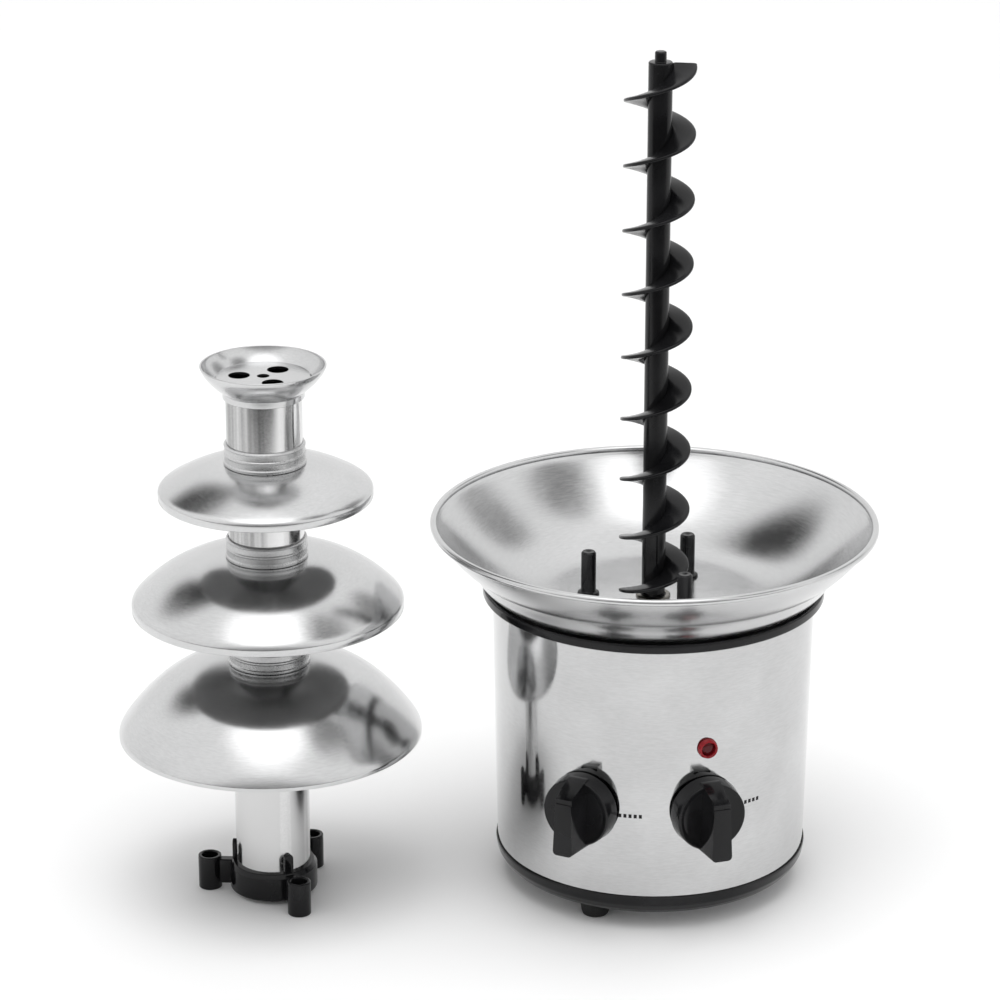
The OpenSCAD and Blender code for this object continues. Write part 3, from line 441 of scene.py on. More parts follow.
def turned(name, outline, place, material, segments=144, sharpAngle=35):
    work = bmesh.new()
    rows = []
    for r, z in outline:
        count = segments if r > tiny else 1
        angles = [fullTurn * k / segments for k in range(count)]
        rows.append([work.verts.new(place @ Vector((r * math.cos(a), r * math.sin(a), z))) for a in angles])
    for lower, upper in zip(rows, rows[1:] + rows[:1]):
        for k in range(segments):
            n = (k + 1) % segments
            corners = [lower[k % len(lower)], lower[n % len(lower)]]
            corners += [upper[n % len(upper)], upper[k % len(upper)]]
            corners = list(dict.fromkeys(corners))  # a row on the axis is one point
            if len(corners) > 2:
                work.faces.new(corners)
    return meshFrom(work, name, material, sharpAngle)


def applyModifiers(piece):
    graph = bpy.context.evaluated_depsgraph_get()
    mesh = bpy.data.meshes.new_from_object(piece.evaluated_get(graph))
    piece.modifiers.clear()
    old = piece.data
    piece.data = mesh
    bpy.data.meshes.remove(old)
    return piece


def bevelled(piece, width, segments=3, angle=30):
    bevel = piece.modifiers.new("rounded edges", "BEVEL")
    bevel.width = width * mm
    bevel.segments = segments
    bevel.limit_method = "ANGLE"
    bevel.angle_limit = math.radians(angle)
    bevel.harden_normals = False
    return applyModifiers(piece)


def combined(piece, others, operation="UNION", sharpAngle=35):
    for other in others:
        join = piece.modifiers.new("join", "BOOLEAN")
        join.operation = operation
        join.solver = "EXACT"
        join.object = other
    applyModifiers(piece)
    for other in others:
        mesh = other.data
        bpy.data.objects.remove(other)
        bpy.data.meshes.remove(mesh)
    piece.data.polygons.foreach_set("use_smooth", [True] * len(piece.data.polygons))
    piece.data.set_sharp_from_angle(angle=math.radians(sharpAngle))


def dress(piece, body, node):
    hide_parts(node)
    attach(piece, body)


# the bowl: dished floor, a crease, a flared edge and a rolled bead

bowl = {"floorRadius": 58.0, "creaseRadius": 90.0, "dishRise": 19.5, "flareFrom": 38.0, "flareTo": 56.0,
        "sheet": 1.0, "bead": 1.7, "hole": 7.2, "curveStart": 46.0, "bandWidth": 0.8,
        "dishSteps": 20, "flareSteps": 16, "beadSteps": 20, "creaseSteps": 8, "insideSteps": 40,
        "bandShares": (0.12, 0.5, 0.9)}
rimRadius = radiusOf("bowl")
floorZ = nodeBox("bowl")[0].z + bowl["sheet"]


def dishArc():
    rise, run = bowl["dishRise"], bowl["creaseRadius"] - bowl["floorRadius"]
    radius = (run * run + rise * rise) / (2 * rise)
    return radius, (bowl["floorRadius"], floorZ + radius)


def bowlSheet(offset):
    dishRadius, centre = dishArc()
    dishAngle = math.degrees(math.asin((bowl["creaseRadius"] - bowl["floorRadius"]) / dishRadius))
    dish = arc(centre, dishRadius + offset, -90, -90 + dishAngle, bowl["dishSteps"])
    beadHalf = math.degrees(math.asin(bowl["sheet"] / 2 / bowl["bead"]))
    beadStart = bowl["flareTo"] + 180 - beadHalf
    endRadius = rimRadius - bowl["bead"] + bowl["bead"] * math.cos(math.radians(beadStart))
    sines = math.sin(math.radians(bowl["flareTo"])) - math.sin(math.radians(bowl["flareFrom"]))
    flareRadius = (endRadius - bowl["creaseRadius"]) / sines
    crease = Vector((bowl["creaseRadius"], floorZ + bowl["dishRise"]))
    first, last = bowl["flareFrom"] - 90, bowl["flareTo"] - 90
    turnTo = math.radians(first)
    flareCentre = crease - flareRadius * Vector((math.cos(turnTo), math.sin(turnTo)))
    flare = arc(flareCentre, flareRadius + offset, first, last, bowl["flareSteps"])
    return dish, flare, (beadStart, 360 - 2 * beadHalf)


def softCrease(dish, flare):
    # one smooth bend in place of the sharp fold between dish and flare
    fold = (dish[-1] + flare[0]) / 2
    return dish[:-4] + bend(dish[-4], fold, flare[2], bowl["creaseSteps"]) + flare[3:]


def smoothInside(crease, rim):
    # one even curve from the flat floor, over the crease, to a steep band under the rim
    steepness = (crease.y - floorZ) / (crease.x - bowl["curveStart"]) ** 2
    edge = rim.x - bowl["bandWidth"]
    steps = bowl["insideSteps"]
    points = []
    for k in range(steps + 1):
        r = bowl["curveStart"] + (edge - bowl["curveStart"]) * k / steps
        points.append(Vector((r, floorZ + steepness * (r - bowl["curveStart"]) ** 2)))
    return points + [points[-1].lerp(rim, t) for t in bowl["bandShares"]] + [rim]


def makeBowl():
    innerDish, innerFlare, bead = bowlSheet(0.0)
    outerDish, outerFlare, bead = bowlSheet(bowl["sheet"])
    inner = smoothInside(innerDish[-1], innerFlare[-1])
    outer = softCrease(outerDish, outerFlare)
    startAngle = math.radians(bead[0])
    beadCentre = inner[-1] - bowl["bead"] * Vector((math.cos(startAngle), math.sin(startAngle)))
    roll = arc(beadCentre, bowl["bead"], bead[0], bead[0] - bead[1], bowl["beadSteps"])[1:-1]
    outline = [Vector((bowl["hole"], floorZ))] + inner + roll + outer[::-1]
    outline.append(Vector((bowl["hole"], floorZ - bowl["sheet"])))
    piece = turned("bowlSheet", outline, basePlace, steels["bowl"], segments=224, sharpAngle=50)
    dress(piece, "base", "bowl")


makeBowl()
print("bowl made, floor at", round(floorZ, 2))


# the housing: a polished sheet between two black rings, on rubber feet

def makeHousing():
    low, high, sheet = housing["lowRadius"], housing["highRadius"], housing["sheet"]
    wall = []
    for k in range(housing["rows"] + 1):
        share = k / housing["rows"]
        wall.append(Vector((low + (high - low) * share, shellLow.z + (shellHigh.z - shellLow.z) * share)))
    back = [Vector((p.x - sheet, p.y)) for p in wall[::-1]]
    piece = turned("housingSheet", wall + back, basePlace, steels["shell"], segments=256, sharpAngle=50)
    cutIn, cutOut = housing["cutIn"], housing["cutOut"]
    cutters = []
    for k, (direction, z, r) in enumerate(housing["holes"]):
        stub = [Vector((x, y)) for x, y in ((0, -cutIn), (r, -cutIn), (r, cutOut), (0, cutOut))]
        cutters.append(turned(f"hole{k}", stub, panelPlace(direction, z), steels["shell"], segments=48))
    combined(piece, cutters, "DIFFERENCE", sharpAngle=50)
    dress(piece, "base", "housing_shell")


# sizes from the shell's top edge; gasket is the gap under the bowl
topRing = {"inner": 3.3, "skirt": 1.7, "lip": 0.5, "rest": 0.1, "flange": 0.8, "gasket": 0.8, "seatSteps": 8}


def makeTopRing():
    low, high = nodeBox("top_ring")
    wide = radiusOf("top_ring")
    rest, under = shellHigh.z + topRing["rest"], shellHigh.z + topRing["flange"]
    shell = housing["highRadius"]
    inner, skirt, lip = shell - topRing["inner"], shell - topRing["skirt"], shell + topRing["lip"]
    dishRadius, dishCentre = dishArc()
    seat = dishRadius + bowl["sheet"] + topRing["gasket"]
    seatEdge = dishCentre[0] + math.sqrt(seat ** 2 - (dishCentre[1] - high.z) ** 2)
    corners = [
        (inner, low.z, 0.3), (skirt, low.z, 0.3), (skirt, rest, 0), (lip, rest, 0), (lip, under, 0.2),
        (wide, under, 0.8), (wide, high.z, 1.0)]
    # the ring's inside follows the dish that sits in it
    steps = topRing["seatSteps"]
    for k in range(steps + 1):
        r = seatEdge + (inner - seatEdge) * k / steps
        corners.append((r, dishCentre[1] - math.sqrt(seat ** 2 - (r - dishCentre[0]) ** 2), 0))
    piece = turned("topRing", rounded(corners), basePlace, plastics["black"], segments=192)
    dress(piece, "base", "top_ring")


# belly holds the swell under the lip: in from the lip, up from the foot, fillet
bottomRing = {"lip": 0.3, "lipHeight": 3, "under": 7.4, "belly": [(4.2, 0.8, 2.5), (2, 3, 3), (0.1, 6, 4)],
              "rest": 0.1, "skirt": 1.5, "wall": 3.5, "ledge": 18.9, "ledgeLow": 11.5, "ledgeHigh": 13.5}


def makeBottomRing():
    low, high = nodeBox("bottom_ring")
    lip = housing["lowRadius"] + bottomRing["lip"]
    top, rest = shellLow.z + bottomRing["lipHeight"], shellLow.z - bottomRing["rest"]
    under, skirt, wall, ledge = (lip - bottomRing[label] for label in ("under", "skirt", "wall", "ledge"))
    ledgeLow, ledgeHigh = bottomRing["ledgeLow"], bottomRing["ledgeHigh"]
    corners = [(under, low.z, 0.4)]
    corners += [(lip - inward, low.z + up, fillet) for inward, up, fillet in bottomRing["belly"]]
    corners += [
        (lip + 0.6, top - 1, 1.0), (lip + 0.5, top, 0.4), (lip, top, 0.1), (lip, rest, 0), (skirt, rest, 0),
        (skirt, high.z, 0.3), (wall, high.z, 0.3), (wall, ledgeHigh, 0.5), (ledge, ledgeHigh, 0.3),
        (ledge, ledgeLow, 0.3), (under, ledgeLow, 0)]
    piece = turned("bottomRing", rounded(corners), basePlace, plastics["black"], segments=192)
    dress(piece, "base", "bottom_ring")


rubberFoot = {"wall": 3.9, "recess": 5.0, "hole": 1.7, "taper": 1.6}


def makeFoot(node, name):
    low, high = nodeBox(node)
    wide = (high.x - low.x) / 2
    hole, wall, recess = rubberFoot["hole"], wide - rubberFoot["wall"], high.z - rubberFoot["recess"]
    corners = [
        (hole, high.z, 0), (hole, recess, 0), (wall, recess, 0.4), (wall, low.z, 0.4),
        (wide - rubberFoot["taper"], low.z, 1.2), (wide - 0.9, low.z + 2, 2.0), (wide, high.z - 0.6, 0.6),
        (wide - 0.4, high.z, 0.2)]
    piece = turned(name, rounded(corners), Matrix.Translation(axisOf(node)), plastics["rubber"], segments=64)
    dress(piece, "base", node)


makeHousing()
makeTopRing()
makeBottomRing()
for side in ("front", "right", "rear"):
    makeFoot("foot_" + side, side + "Foot")
print("housing, rings and feet made")


# posts and the bush that carries the auger's shaft

post = {"radius": 3.7, "flangeHeight": 1.6, "tip": 0.8, "dimple": 1.6, "stud": 2.45}
shaftBush = {"bore": 4.05, "sealRadius": 6.2, "sealDepth": 3.5, "shoulder": 1.5}


def makePost(node, name):
    low, high = nodeBox(node)
    wide = (high.x - low.x) / 2
    r, top, flange, stud = post["radius"], high.z, floorZ + post["flangeHeight"], post["stud"]
    corners = [
        (0, top - post["tip"], 0), (post["dimple"], top - 0.1, 0.3), (r - 0.7, top, 0.3), (r, top - 0.9, 0.4),
        (r, flange + 0.2, 0.5), (wide - 0.2, flange - 0.3, 0.5), (wide, floorZ, 0), (stud, floorZ, 0),
        (stud, low.z, 0.2), (0, low.z, 0)]
    piece = turned(name, rounded(corners), Matrix.Translation(axisOf(node)), plastics["black"], segments=48)
    dress(piece, "base", node)


def makeBush():
    low, high = nodeBox("shaft_bush")
    wide = radiusOf("shaft_bush")
    bore, seal, sealLow = shaftBush["bore"], shaftBush["sealRadius"], high.z - shaftBush["sealDepth"]
    neck = wide - shaftBush["shoulder"]
    corners = [
        (bore, low.z, 0.2), (bore, sealLow, 0), (seal, sealLow, 0), (seal, high.z, 0.2), (wide, high.z, 0.5),
        (wide, floorZ, 0), (neck, floorZ, 0), (neck, low.z, 0.4)]
    piece = turned("shaftBush", rounded(corners), basePlace, metals["plated"], segments=72)
    dress(piece, "base", "shaft_bush")


for side in ("left", "front", "rear"):
    makePost("post_" + side, side + "Post")
makeBush()
print("posts and bush made")


# the auger: a turned core and a flight wound by geometry nodes

auger = {"core": radiusOf("auger_core"), "tip": radiusOf("auger_flight") + 0.05, "pipRadius": 2.8,
         "pipHeight": 5.0, "socket": 4.2, "socketDepth": 15.2, "rootThickness": 3.4, "tipThickness": 2.0,
         "rootSunk": 0.3, "pitch": 32.2, "endDirection": 5.0, "extraTurn": 0.18, "footTurn": 0.12,
         "rowsPerTurn": 44, "profilePoints": 28}


def buildFlightTree():
    floats = ["Core Radius", "Tip Radius", "Root Thickness", "Tip Thickness", "Pitch", "Start Height",
              "End Height", "End Angle", "Extra Turn", "Foot Turn"]
    inputs = [(label, "NodeSocketFloat", 0.0) for label in floats]
    inputs += [("Rows", "NodeSocketInt", 100), ("Profile Points", "NodeSocketInt", 24),
               ("Material", "NodeSocketMaterial", None)]
    tree, start, end = newGroup("wound flight", inputs, [("Mesh", "NodeSocketGeometry")], "GeometryNodeTree")
    given = start.outputs
    counts = {"Vertices X": given["Profile Points"], "Vertices Y": given["Rows"]}
    grid = wired(tree, "GeometryNodeMeshGrid", counts).outputs["Mesh"]
    spot = splitVector(tree, addNode(tree, "GeometryNodeInputPosition").outputs[0])
    loop = calc(tree, "MULTIPLY", calc(tree, "ADD", spot[0], 0.5), fullTurn)
    along = calc(tree, "ADD", spot[1], 0.5)
    step = calc(tree, "DIVIDE", 1.0, calc(tree, "SUBTRACT", given["Rows"], 1.0))
    # the first and last rows shrink to a point and close the flight's ends
    nearEnd = calc(tree, "MINIMUM", along, calc(tree, "SUBTRACT", 1.0, along))
    opened = calc(tree, "GREATER_THAN", nearEnd, calc(tree, "MULTIPLY", step, 0.5))
    inner = calc(tree, "SUBTRACT", 1.0, calc(tree, "MULTIPLY", step, 2.0))
    path = calc(tree, "DIVIDE", calc(tree, "SUBTRACT", along, step), inner)
    path = calc(tree, "MINIMUM", calc(tree, "MAXIMUM", path, 0.0), 1.0)
    cosine, sine = calc(tree, "COSINE", loop), calc(tree, "SINE", loop)

    def squared(value, power):
        size = calc(tree, "POWER", calc(tree, "ABSOLUTE", value), power)
        return calc(tree, "MULTIPLY", calc(tree, "MULTIPLY", calc(tree, "SIGN", value), size), opened)

    span = calc(tree, "SUBTRACT", given["Tip Radius"], given["Core Radius"])
    share = calc(tree, "MULTIPLY_ADD", squared(cosine, 0.3), 0.5, 0.5)
    radius = calc(tree, "MULTIPLY_ADD", span, share, given["Core Radius"])
    thinning = calc(tree, "SUBTRACT", given["Tip Thickness"], given["Root Thickness"])
    thickness = calc(tree, "MULTIPLY_ADD", thinning, share, given["Root Thickness"])
    lift = calc(tree, "MULTIPLY", calc(tree, "MULTIPLY", thickness, 0.5), squared(sine, 0.5))
    rise = calc(tree, "SUBTRACT", given["End Height"], given["Start Height"])
    height = calc(tree, "MULTIPLY_ADD", rise, path, given["Start Height"])
    turns = calc(tree, "DIVIDE", calc(tree, "SUBTRACT", height, given["End Height"]), given["Pitch"])
    # the turns draw closer together towards the foot
    down = calc(tree, "SUBTRACT", 1.0, path)
    extra = calc(tree, "MULTIPLY", calc(tree, "POWER", down, 2.5), given["Extra Turn"])
    extra = calc(tree, "MULTIPLY_ADD", calc(tree, "POWER", down, 14.0), given["Foot Turn"], extra)
    turns = calc(tree, "SUBTRACT", turns, extra)
    angle = calc(tree, "MULTIPLY_ADD", turns, fullTurn, given["End Angle"])
    x = calc(tree, "MULTIPLY", radius, calc(tree, "COSINE", angle))
    y = calc(tree, "MULTIPLY", radius, calc(tree, "SINE", angle))
    wound = joinVector(tree, x, y, calc(tree, "ADD", height, lift))
    closeTree(tree, merged(tree, moved(tree, grid, wound)), given["Material"], end)
    return tree


def grown(name, tree, values, place, material, sharpAngle=35):
    # runs a geometry tree once and keeps its result as a plain mesh
    holder = bpy.data.objects.new(name, bpy.data.meshes.new(name + "Start"))
    scene.collection.objects.link(holder)
    modifier = holder.modifiers.new("grow", "NODES")
    modifier.node_group = tree
    sockets = {item.name: item.identifier for item in tree.interface.items_tree if item.in_out == "INPUT"}
    for label, value in dict(values, Material=material).items():
        modifier[sockets[label]] = value
    graph = bpy.context.evaluated_depsgraph_get()
    mesh = bpy.data.meshes.new_from_object(holder.evaluated_get(graph))
    holder.modifiers.remove(modifier)
    bpy.data.objects.remove(holder)
    work = bmesh.new()
    work.from_mesh(mesh)
    bmesh.ops.recalc_face_normals(work, faces=work.faces)
    work.to_mesh(mesh)
    work.free()
    mesh.transform(Matrix.Scale(mm, 4) @ place @ Matrix.Scale(1 / mm, 4))
    return meshPiece(mesh, name, material, sharpAngle)


def makeAuger():
    low, high = nodeBox("auger_core")
    core = auger["core"]
    pip, shoulder = auger["pipRadius"], high.z - auger["pipHeight"]
    socket, socketTop = auger["socket"], low.z + auger["socketDepth"]
    corners = [
        (0, high.z, 0), (pip, high.z, 0.8), (pip, shoulder, 0.3), (core, shoulder, 0.7),
        (core, low.z, 0.5), (socket, low.z, 0), (socket, socketTop, 0), (0, socketTop, 0)]
    stem = turned("augerCore", rounded(corners), basePlace, plastics["auger"], segments=64)
    dress(stem, "auger", "auger_core")
    flightLow, flightHigh = nodeBox("auger_flight")
    startHeight = flightLow.z + auger["rootThickness"] / 2
    endHeight = flightHigh.z - auger["rootThickness"] / 2
    turns = (endHeight - startHeight) / auger["pitch"]
    values = {
        "Core Radius": (core - auger["rootSunk"]) * mm, "Tip Radius": auger["tip"] * mm,
        "Root Thickness": auger["rootThickness"] * mm, "Tip Thickness": auger["tipThickness"] * mm,
        "Pitch": auger["pitch"] * mm, "Start Height": startHeight * mm, "End Height": endHeight * mm,
        "End Angle": math.radians(auger["endDirection"]), "Extra Turn": auger["extraTurn"],
        "Foot Turn": auger["footTurn"], "Rows": int(turns * auger["rowsPerTurn"]),
        "Profile Points": auger["profilePoints"]}
    flight = grown("augerFlight", buildFlightTree(), values, basePlace, plastics["auger"], sharpAngle=50)
    dress(flight, "auger", "auger_flight")


makeAuger()
print("auger wound")


# knobs: a dished drum with a grip bar across it

knob = {"radius": 17.9, "foot": 0.9, "face": 10.4, "dish": 1.4, "wall": 1.4, "recess": 9.5, "rimDepth": 1.2,
        "recessDepth": 4.5, "barFront": 25.0, "barRoot": 6.0, "rootHalf": 5.6, "frontHalf": 4.5,
        "lowFlare": 0.7, "notchFrom": 10.0, "notchTo": 12.6, "notchDepth": 1.5, "topEnd": 8.6, "endGap": 0.4,
        "edge": 0.7, "shortBy": 1.2, "cornerRadius": 2.2, "cornerSteps": 5}


def makeBar(name, place):
    radius, root, front = knob["radius"], knob["barRoot"], knob["barFront"]
    notchFrom, notchTo, notch = knob["notchFrom"], knob["notchTo"], front - knob["notchDepth"]
    far = radius - knob["endGap"]
    side = [
        (-radius, root), (knob["shortBy"] - radius, front), (notchFrom, front - 0.7), (notchFrom, notch),
        (notchTo, notch), (notchTo, front - 0.9), (far, knob["topEnd"]), (far, root)]
    work = bmesh.new()
    faces = []
    for sign in (-1, 1):
        ring = []
        for u, v in side:
            share = (v - root) / (front - root)
            half = knob["rootHalf"] + (knob["frontHalf"] - knob["rootHalf"]) * share
            half -= knob["lowFlare"] * u / radius
            ring.append(work.verts.new(place @ Vector((sign * half, u, v))))
        faces.append(ring)
        work.faces.new(ring)
    for k in range(len(side)):
        n = (k + 1) % len(side)
        work.faces.new((faces[0][k], faces[0][n], faces[1][n], faces[1][k]))
    corners = [work.edges.get(ring[:2]) for ring in faces]
    size, steps = knob["cornerRadius"], knob["cornerSteps"]
    bmesh.ops.bevel(work, geom=corners, offset=size, segments=steps, affect="EDGES", profile=0.5)
    bmesh.ops.triangulate(work, faces=[f for f in work.faces if len(f.verts) > 4])
    bar = meshFrom(work, name, plastics["black"])
    return bevelled(bar, knob["edge"])


def makeKnob(node, name, direction, z):
    place = panelPlace(direction, z)
    radius, foot, face, recess = knob["radius"], knob["foot"], knob["face"], knob["recess"]
    rimTop, recessTop = foot + knob["rimDepth"], foot + knob["recessDepth"]
    corners = [
        (0, face - knob["dish"], 0), (radius - 3.5, face - knob["dish"] * 0.35, 3), (radius - 0.9, face, 0.7),
        (radius, foot, 0.5), (radius - 1.2, foot, 0.3), (radius - knob["wall"], rimTop, 0.3),
        (recess, rimTop, 0.3), (recess, recessTop, 0.3), (0, recessTop, 0)]
    drum = turned(name, rounded(corners), place, plastics["black"], segments=96)
    combined(drum, [makeBar(name + "Bar", place)])
    dress(drum, node, node)


knobHeight = (nodeBox("motor_spindle")[0].z + nodeBox("motor_spindle")[1].z) / 2


def directionOf(body):
    joint = next(j for j in frame["joints"] if j["child"] == body)
    inward = joint["axis"]
    return math.degrees(math.atan2(-inward[0], inward[1]))


motorDirection, heatDirection = directionOf("motor_knob"), directionOf("heat_knob")
makeKnob("motor_knob", "motorKnob", motorDirection, knobHeight)
makeKnob("heat_knob", "heatKnob", heatDirection, knobHeight)
print("knobs made at", round(motorDirection, 1), "and", round(heatDirection, 1), "degrees")


# pilot lamp, cord gland and the small printed rows beside the knobs

lamp = {"direction": 17.8, "radius": 5.2, "out": 2.8, "bore": 3.4, "body": 4.0, "depth": 12.0, "seat": 6.0,
        "lensFoot": 5.9, "lensGap": 0.15, "lensSunk": 1.4}
gland = {"flange": 8.5, "out": 4.5, "body": 6.0, "bore": 3.5, "depth": 10.0, "seat": 0.5, "nutFrom": 1.8,
         "nutTo": 6.8}
printedRow = {"count": 5, "pitch": 2.5, "width": 1.5, "height": 1.9, "thickness": 0.4, "proud": 0.06,
              "places": {"motorMarks": (-9.5, 62.5), "heatMarks": (36.0, 64.5)}}


def makeLamp():
    low, high = nodeBox("lamp_bezel")
    place = panelPlace(lamp["direction"], (low.z + high.z) / 2)
    r, out, bore, body = (lamp[label] for label in ("radius", "out", "bore", "body"))
    seat, back = -lamp["seat"], -lamp["depth"]
    corners = [
        (bore, seat, 0), (bore, out - 0.5, 0.4), (bore + 0.5, out, 0.3), (r - 0.8, out, 0.6), (r, 0.2, 0.5),
        (body, 0.2, 0), (body, back, 0.4), (0, back, 0), (0, seat, 0)]
    bezel = turned("lampBezel", rounded(corners), place, plastics["red"], segments=64)
    dress(bezel, "base", "lamp_bezel")
    top, edge, foot = out - lamp["lensSunk"], bore - lamp["lensGap"], -lamp["lensFoot"]
    dome = [
        (0, top), (bore * 0.4, top - 0.06), (bore * 0.75, top - 0.25), (edge, top - 0.55), (edge, foot),
        (0, foot)]
    lens = turned("lampLens", [Vector(p) for p in dome], place, plastics["lens"], segments=64)
    dress(lens, "base", "lamp_lens")


def makeGland():
    low, high = nodeBox("cord_gland")
    place = panelPlace(180, (low.z + high.z) / 2)
    r, out, bore, body, seat = (gland[label] for label in ("flange", "out", "bore", "body", "seat"))
    near, far, back = -gland["nutFrom"], -gland["nutTo"], -gland["depth"]
    corners = [
        (bore, back, 0.3), (bore, out, 0.6), (r - 2.4, out, 0.8), (r - 0.6, 2.2, 0.8), (r, seat, 0.3),
        (body, seat, 0), (body, near, 0), (r, near, 0.3), (r, far, 0.3), (body, far, 0), (body, back, 0.4)]
    piece = turned("cordGland", rounded(corners), place, plastics["black"], segments=64)
    dress(piece, "base", "cord_gland")


def buildRowTree():
    inputs = [("Count", "NodeSocketInt", 5), ("Pitch", "NodeSocketFloat", 0.0),
              ("Size", "NodeSocketVector", None), ("Panel Radius", "NodeSocketFloat", 1.0),
              ("Material", "NodeSocketMaterial", None)]
    tree, start, end = newGroup("printed row", inputs, [("Mesh", "NodeSocketGeometry")], "GeometryNodeTree")
    given = start.outputs
    count, pitch = given["Count"], given["Pitch"]
    line = wired(tree, "GeometryNodeMeshLine", {"Count": count, "Offset": joinVector(tree, pitch)})
    mark = wired(tree, "GeometryNodeMeshCube", {"Size": given["Size"]})
    pair = {"Points": line.outputs[0], "Instance": mark.outputs["Mesh"]}
    marks = realized(tree, wired(tree, "GeometryNodeInstanceOnPoints", pair).outputs[0])
    # centre the row and lay it on the round panel
    spot = splitVector(tree, addNode(tree, "GeometryNodeInputPosition").outputs[0])
    length = calc(tree, "MULTIPLY", pitch, calc(tree, "SUBTRACT", count, 1.0))
    x = calc(tree, "SUBTRACT", spot[0], calc(tree, "MULTIPLY", length, 0.5))
    across = calc(tree, "MULTIPLY", given["Panel Radius"], -2.0)
    drop = calc(tree, "DIVIDE", calc(tree, "MULTIPLY", x, x), across)
    laid = joinVector(tree, x, spot[1], calc(tree, "ADD", spot[2], drop))
    closeTree(tree, moved(tree, marks, laid), given["Material"], end)
    return tree


def makePrintedRows():
    tree = buildRowTree()
    for name, (direction, z) in printedRow["places"].items():
        values = {
            "Count": printedRow["count"], "Pitch": printedRow["pitch"] * mm,
            "Panel Radius": shellRadius(z) * mm,
            "Size": [printedRow[k] * mm for k in ("width", "height", "thickness")]}
        lift = Matrix.Translation((0, 0, printedRow["proud"] - printedRow["thickness"] / 2))
        piece = grown(name, tree, values, panelPlace(direction, z) @ lift, plastics["print"])
        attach(piece, "base")


makeLamp()
makeGland()
makePrintedRows()
print("lamp, gland and printed rows made")


# the tower: a tube with three domed tiers, their collars, a crown cup and a black foot

towerTube = {"radius": radiusOf("tower_tube"), "sheet": 0.6, "rows": 30}
tiers = {
    "tier_top": {"name": "topTier", "power": 1.75, "lip": 4.6},
    "tier_middle": {"name": "middleTier", "power": 2.3, "lip": 4.6},
    "tier_bottom": {"name": "bottomTier", "power": 2.4, "lip": 3.0},
}
tierSheet = {"thickness": 0.9, "steps": 40, "edge": 2.2, "segments": 224, "tubeGap": 0.1, "shoulder": 1.4,
             "shoulderSteps": 10}


def tierOutline(radius, low, high, power, lip):
    hole = towerTube["radius"] + tierSheet["tubeGap"]
    spring = low + lip
    rise, span, steps = high - spring, radius - hole, tierSheet["steps"]
    dome = []
    for k in range(steps + 1):
        q = k / steps
        dome.append((hole + span * q, spring + rise * (1 - q ** power)))
    # round the shoulder where the dome turns down into its lip
    kept = [Vector(p) for p in dome if p[0] < radius - tierSheet["edge"]]
    after = Vector((radius, spring - tierSheet["shoulder"]))
    turn = bend(kept[-1], Vector(dome[-1]), after, tierSheet["shoulderSteps"])[1:]
    outer = kept + turn + [Vector((radius, low + 0.3)), Vector((radius - 0.25, low))]
    inner = []
    for index, point in enumerate(outer):
        before = outer[max(index - 1, 0)]
        after = outer[min(index + 1, len(outer) - 1)]
        along = (after - before).normalized()
        inner.append(point + tierSheet["thickness"] * Vector((along.y, -along.x)))
    inner[0].x = hole
    inner = inner[:-2] + [Vector((radius - tierSheet["thickness"], low + 0.2))]
    return outer + inner[::-1]


def makeTiers():
    segments = tierSheet["segments"]
    for node, look in tiers.items():
        low, high = nodeBox(node)
        outline = tierOutline(radiusOf(node), low.z, high.z, look["power"], look["lip"])
        piece = turned(look["name"], outline, towerPlace, steels["tower"], segments, sharpAngle=60)
        # marks the underside vertices, which get painted shade and more roughness
        inside = piece.data.attributes.new("inside", "FLOAT", "POINT")
        innerStart = (len(outline) + 1) // 2 * segments
        inside.data.foreach_set("value", [float(k >= innerStart) for k in range(len(piece.data.vertices))])
        dress(piece, "tower", node)


def makeTube():
    low, high = nodeBox("tower_tube")
    r, sheet, rows = (towerTube[label] for label in ("radius", "sheet", "rows"))
    wall = [Vector((r, low.z + (high.z - low.z) * k / rows)) for k in range(rows + 1)]
    outline = wall + [Vector((r - sheet, p.y)) for p in wall[::-1]]
    piece = turned("towerTube", outline, towerPlace, steels["tube"], segments=128)
    dress(piece, "tower", "tower_tube")


# the collar's profile: in from the widest radius, up from the foot or down from the head, fillet
collar = {"tubeGap": 0.05,
          "foot": [(0, 0, 0.3), (0, 1.3, 0.4), (0.5, 2.0, 0.5), (0.5, 4.6, 0.4), (0.1, 5.0, 0.3),
                   (0.1, 5.8, 0.3), (0.5, 6.2, 0.4)],
          "head": [(0.5, 1.5, 0.4), (0.2, 1.0, 0.3), (0.9, 0, 0.4)]}


def makeCollars():
    inside = towerTube["radius"] + collar["tubeGap"]
    for side in ("top", "middle", "bottom"):
        node = "collar_" + side
        low, high = nodeBox(node)
        wide = radiusOf(node)
        corners = [(inside, low.z, 0)]
        corners += [(wide - inward, low.z + up, fillet) for inward, up, fillet in collar["foot"]]
        corners += [(wide - inward, high.z - down, fillet) for inward, down, fillet in collar["head"]]
        corners.append((inside, high.z, 0))
        piece = turned(side + "Collar", rounded(corners, steps=4), towerPlace, steels["collar"], segments=128)
        dress(piece, "tower", node)


crown = {"tubeGap": 0.05, "sheet": 0.9, "bead": 1.3, "neck": 3.0, "power": 1.5, "floorGap": 0.9, "steps": 16,
         "slant": 0.4}


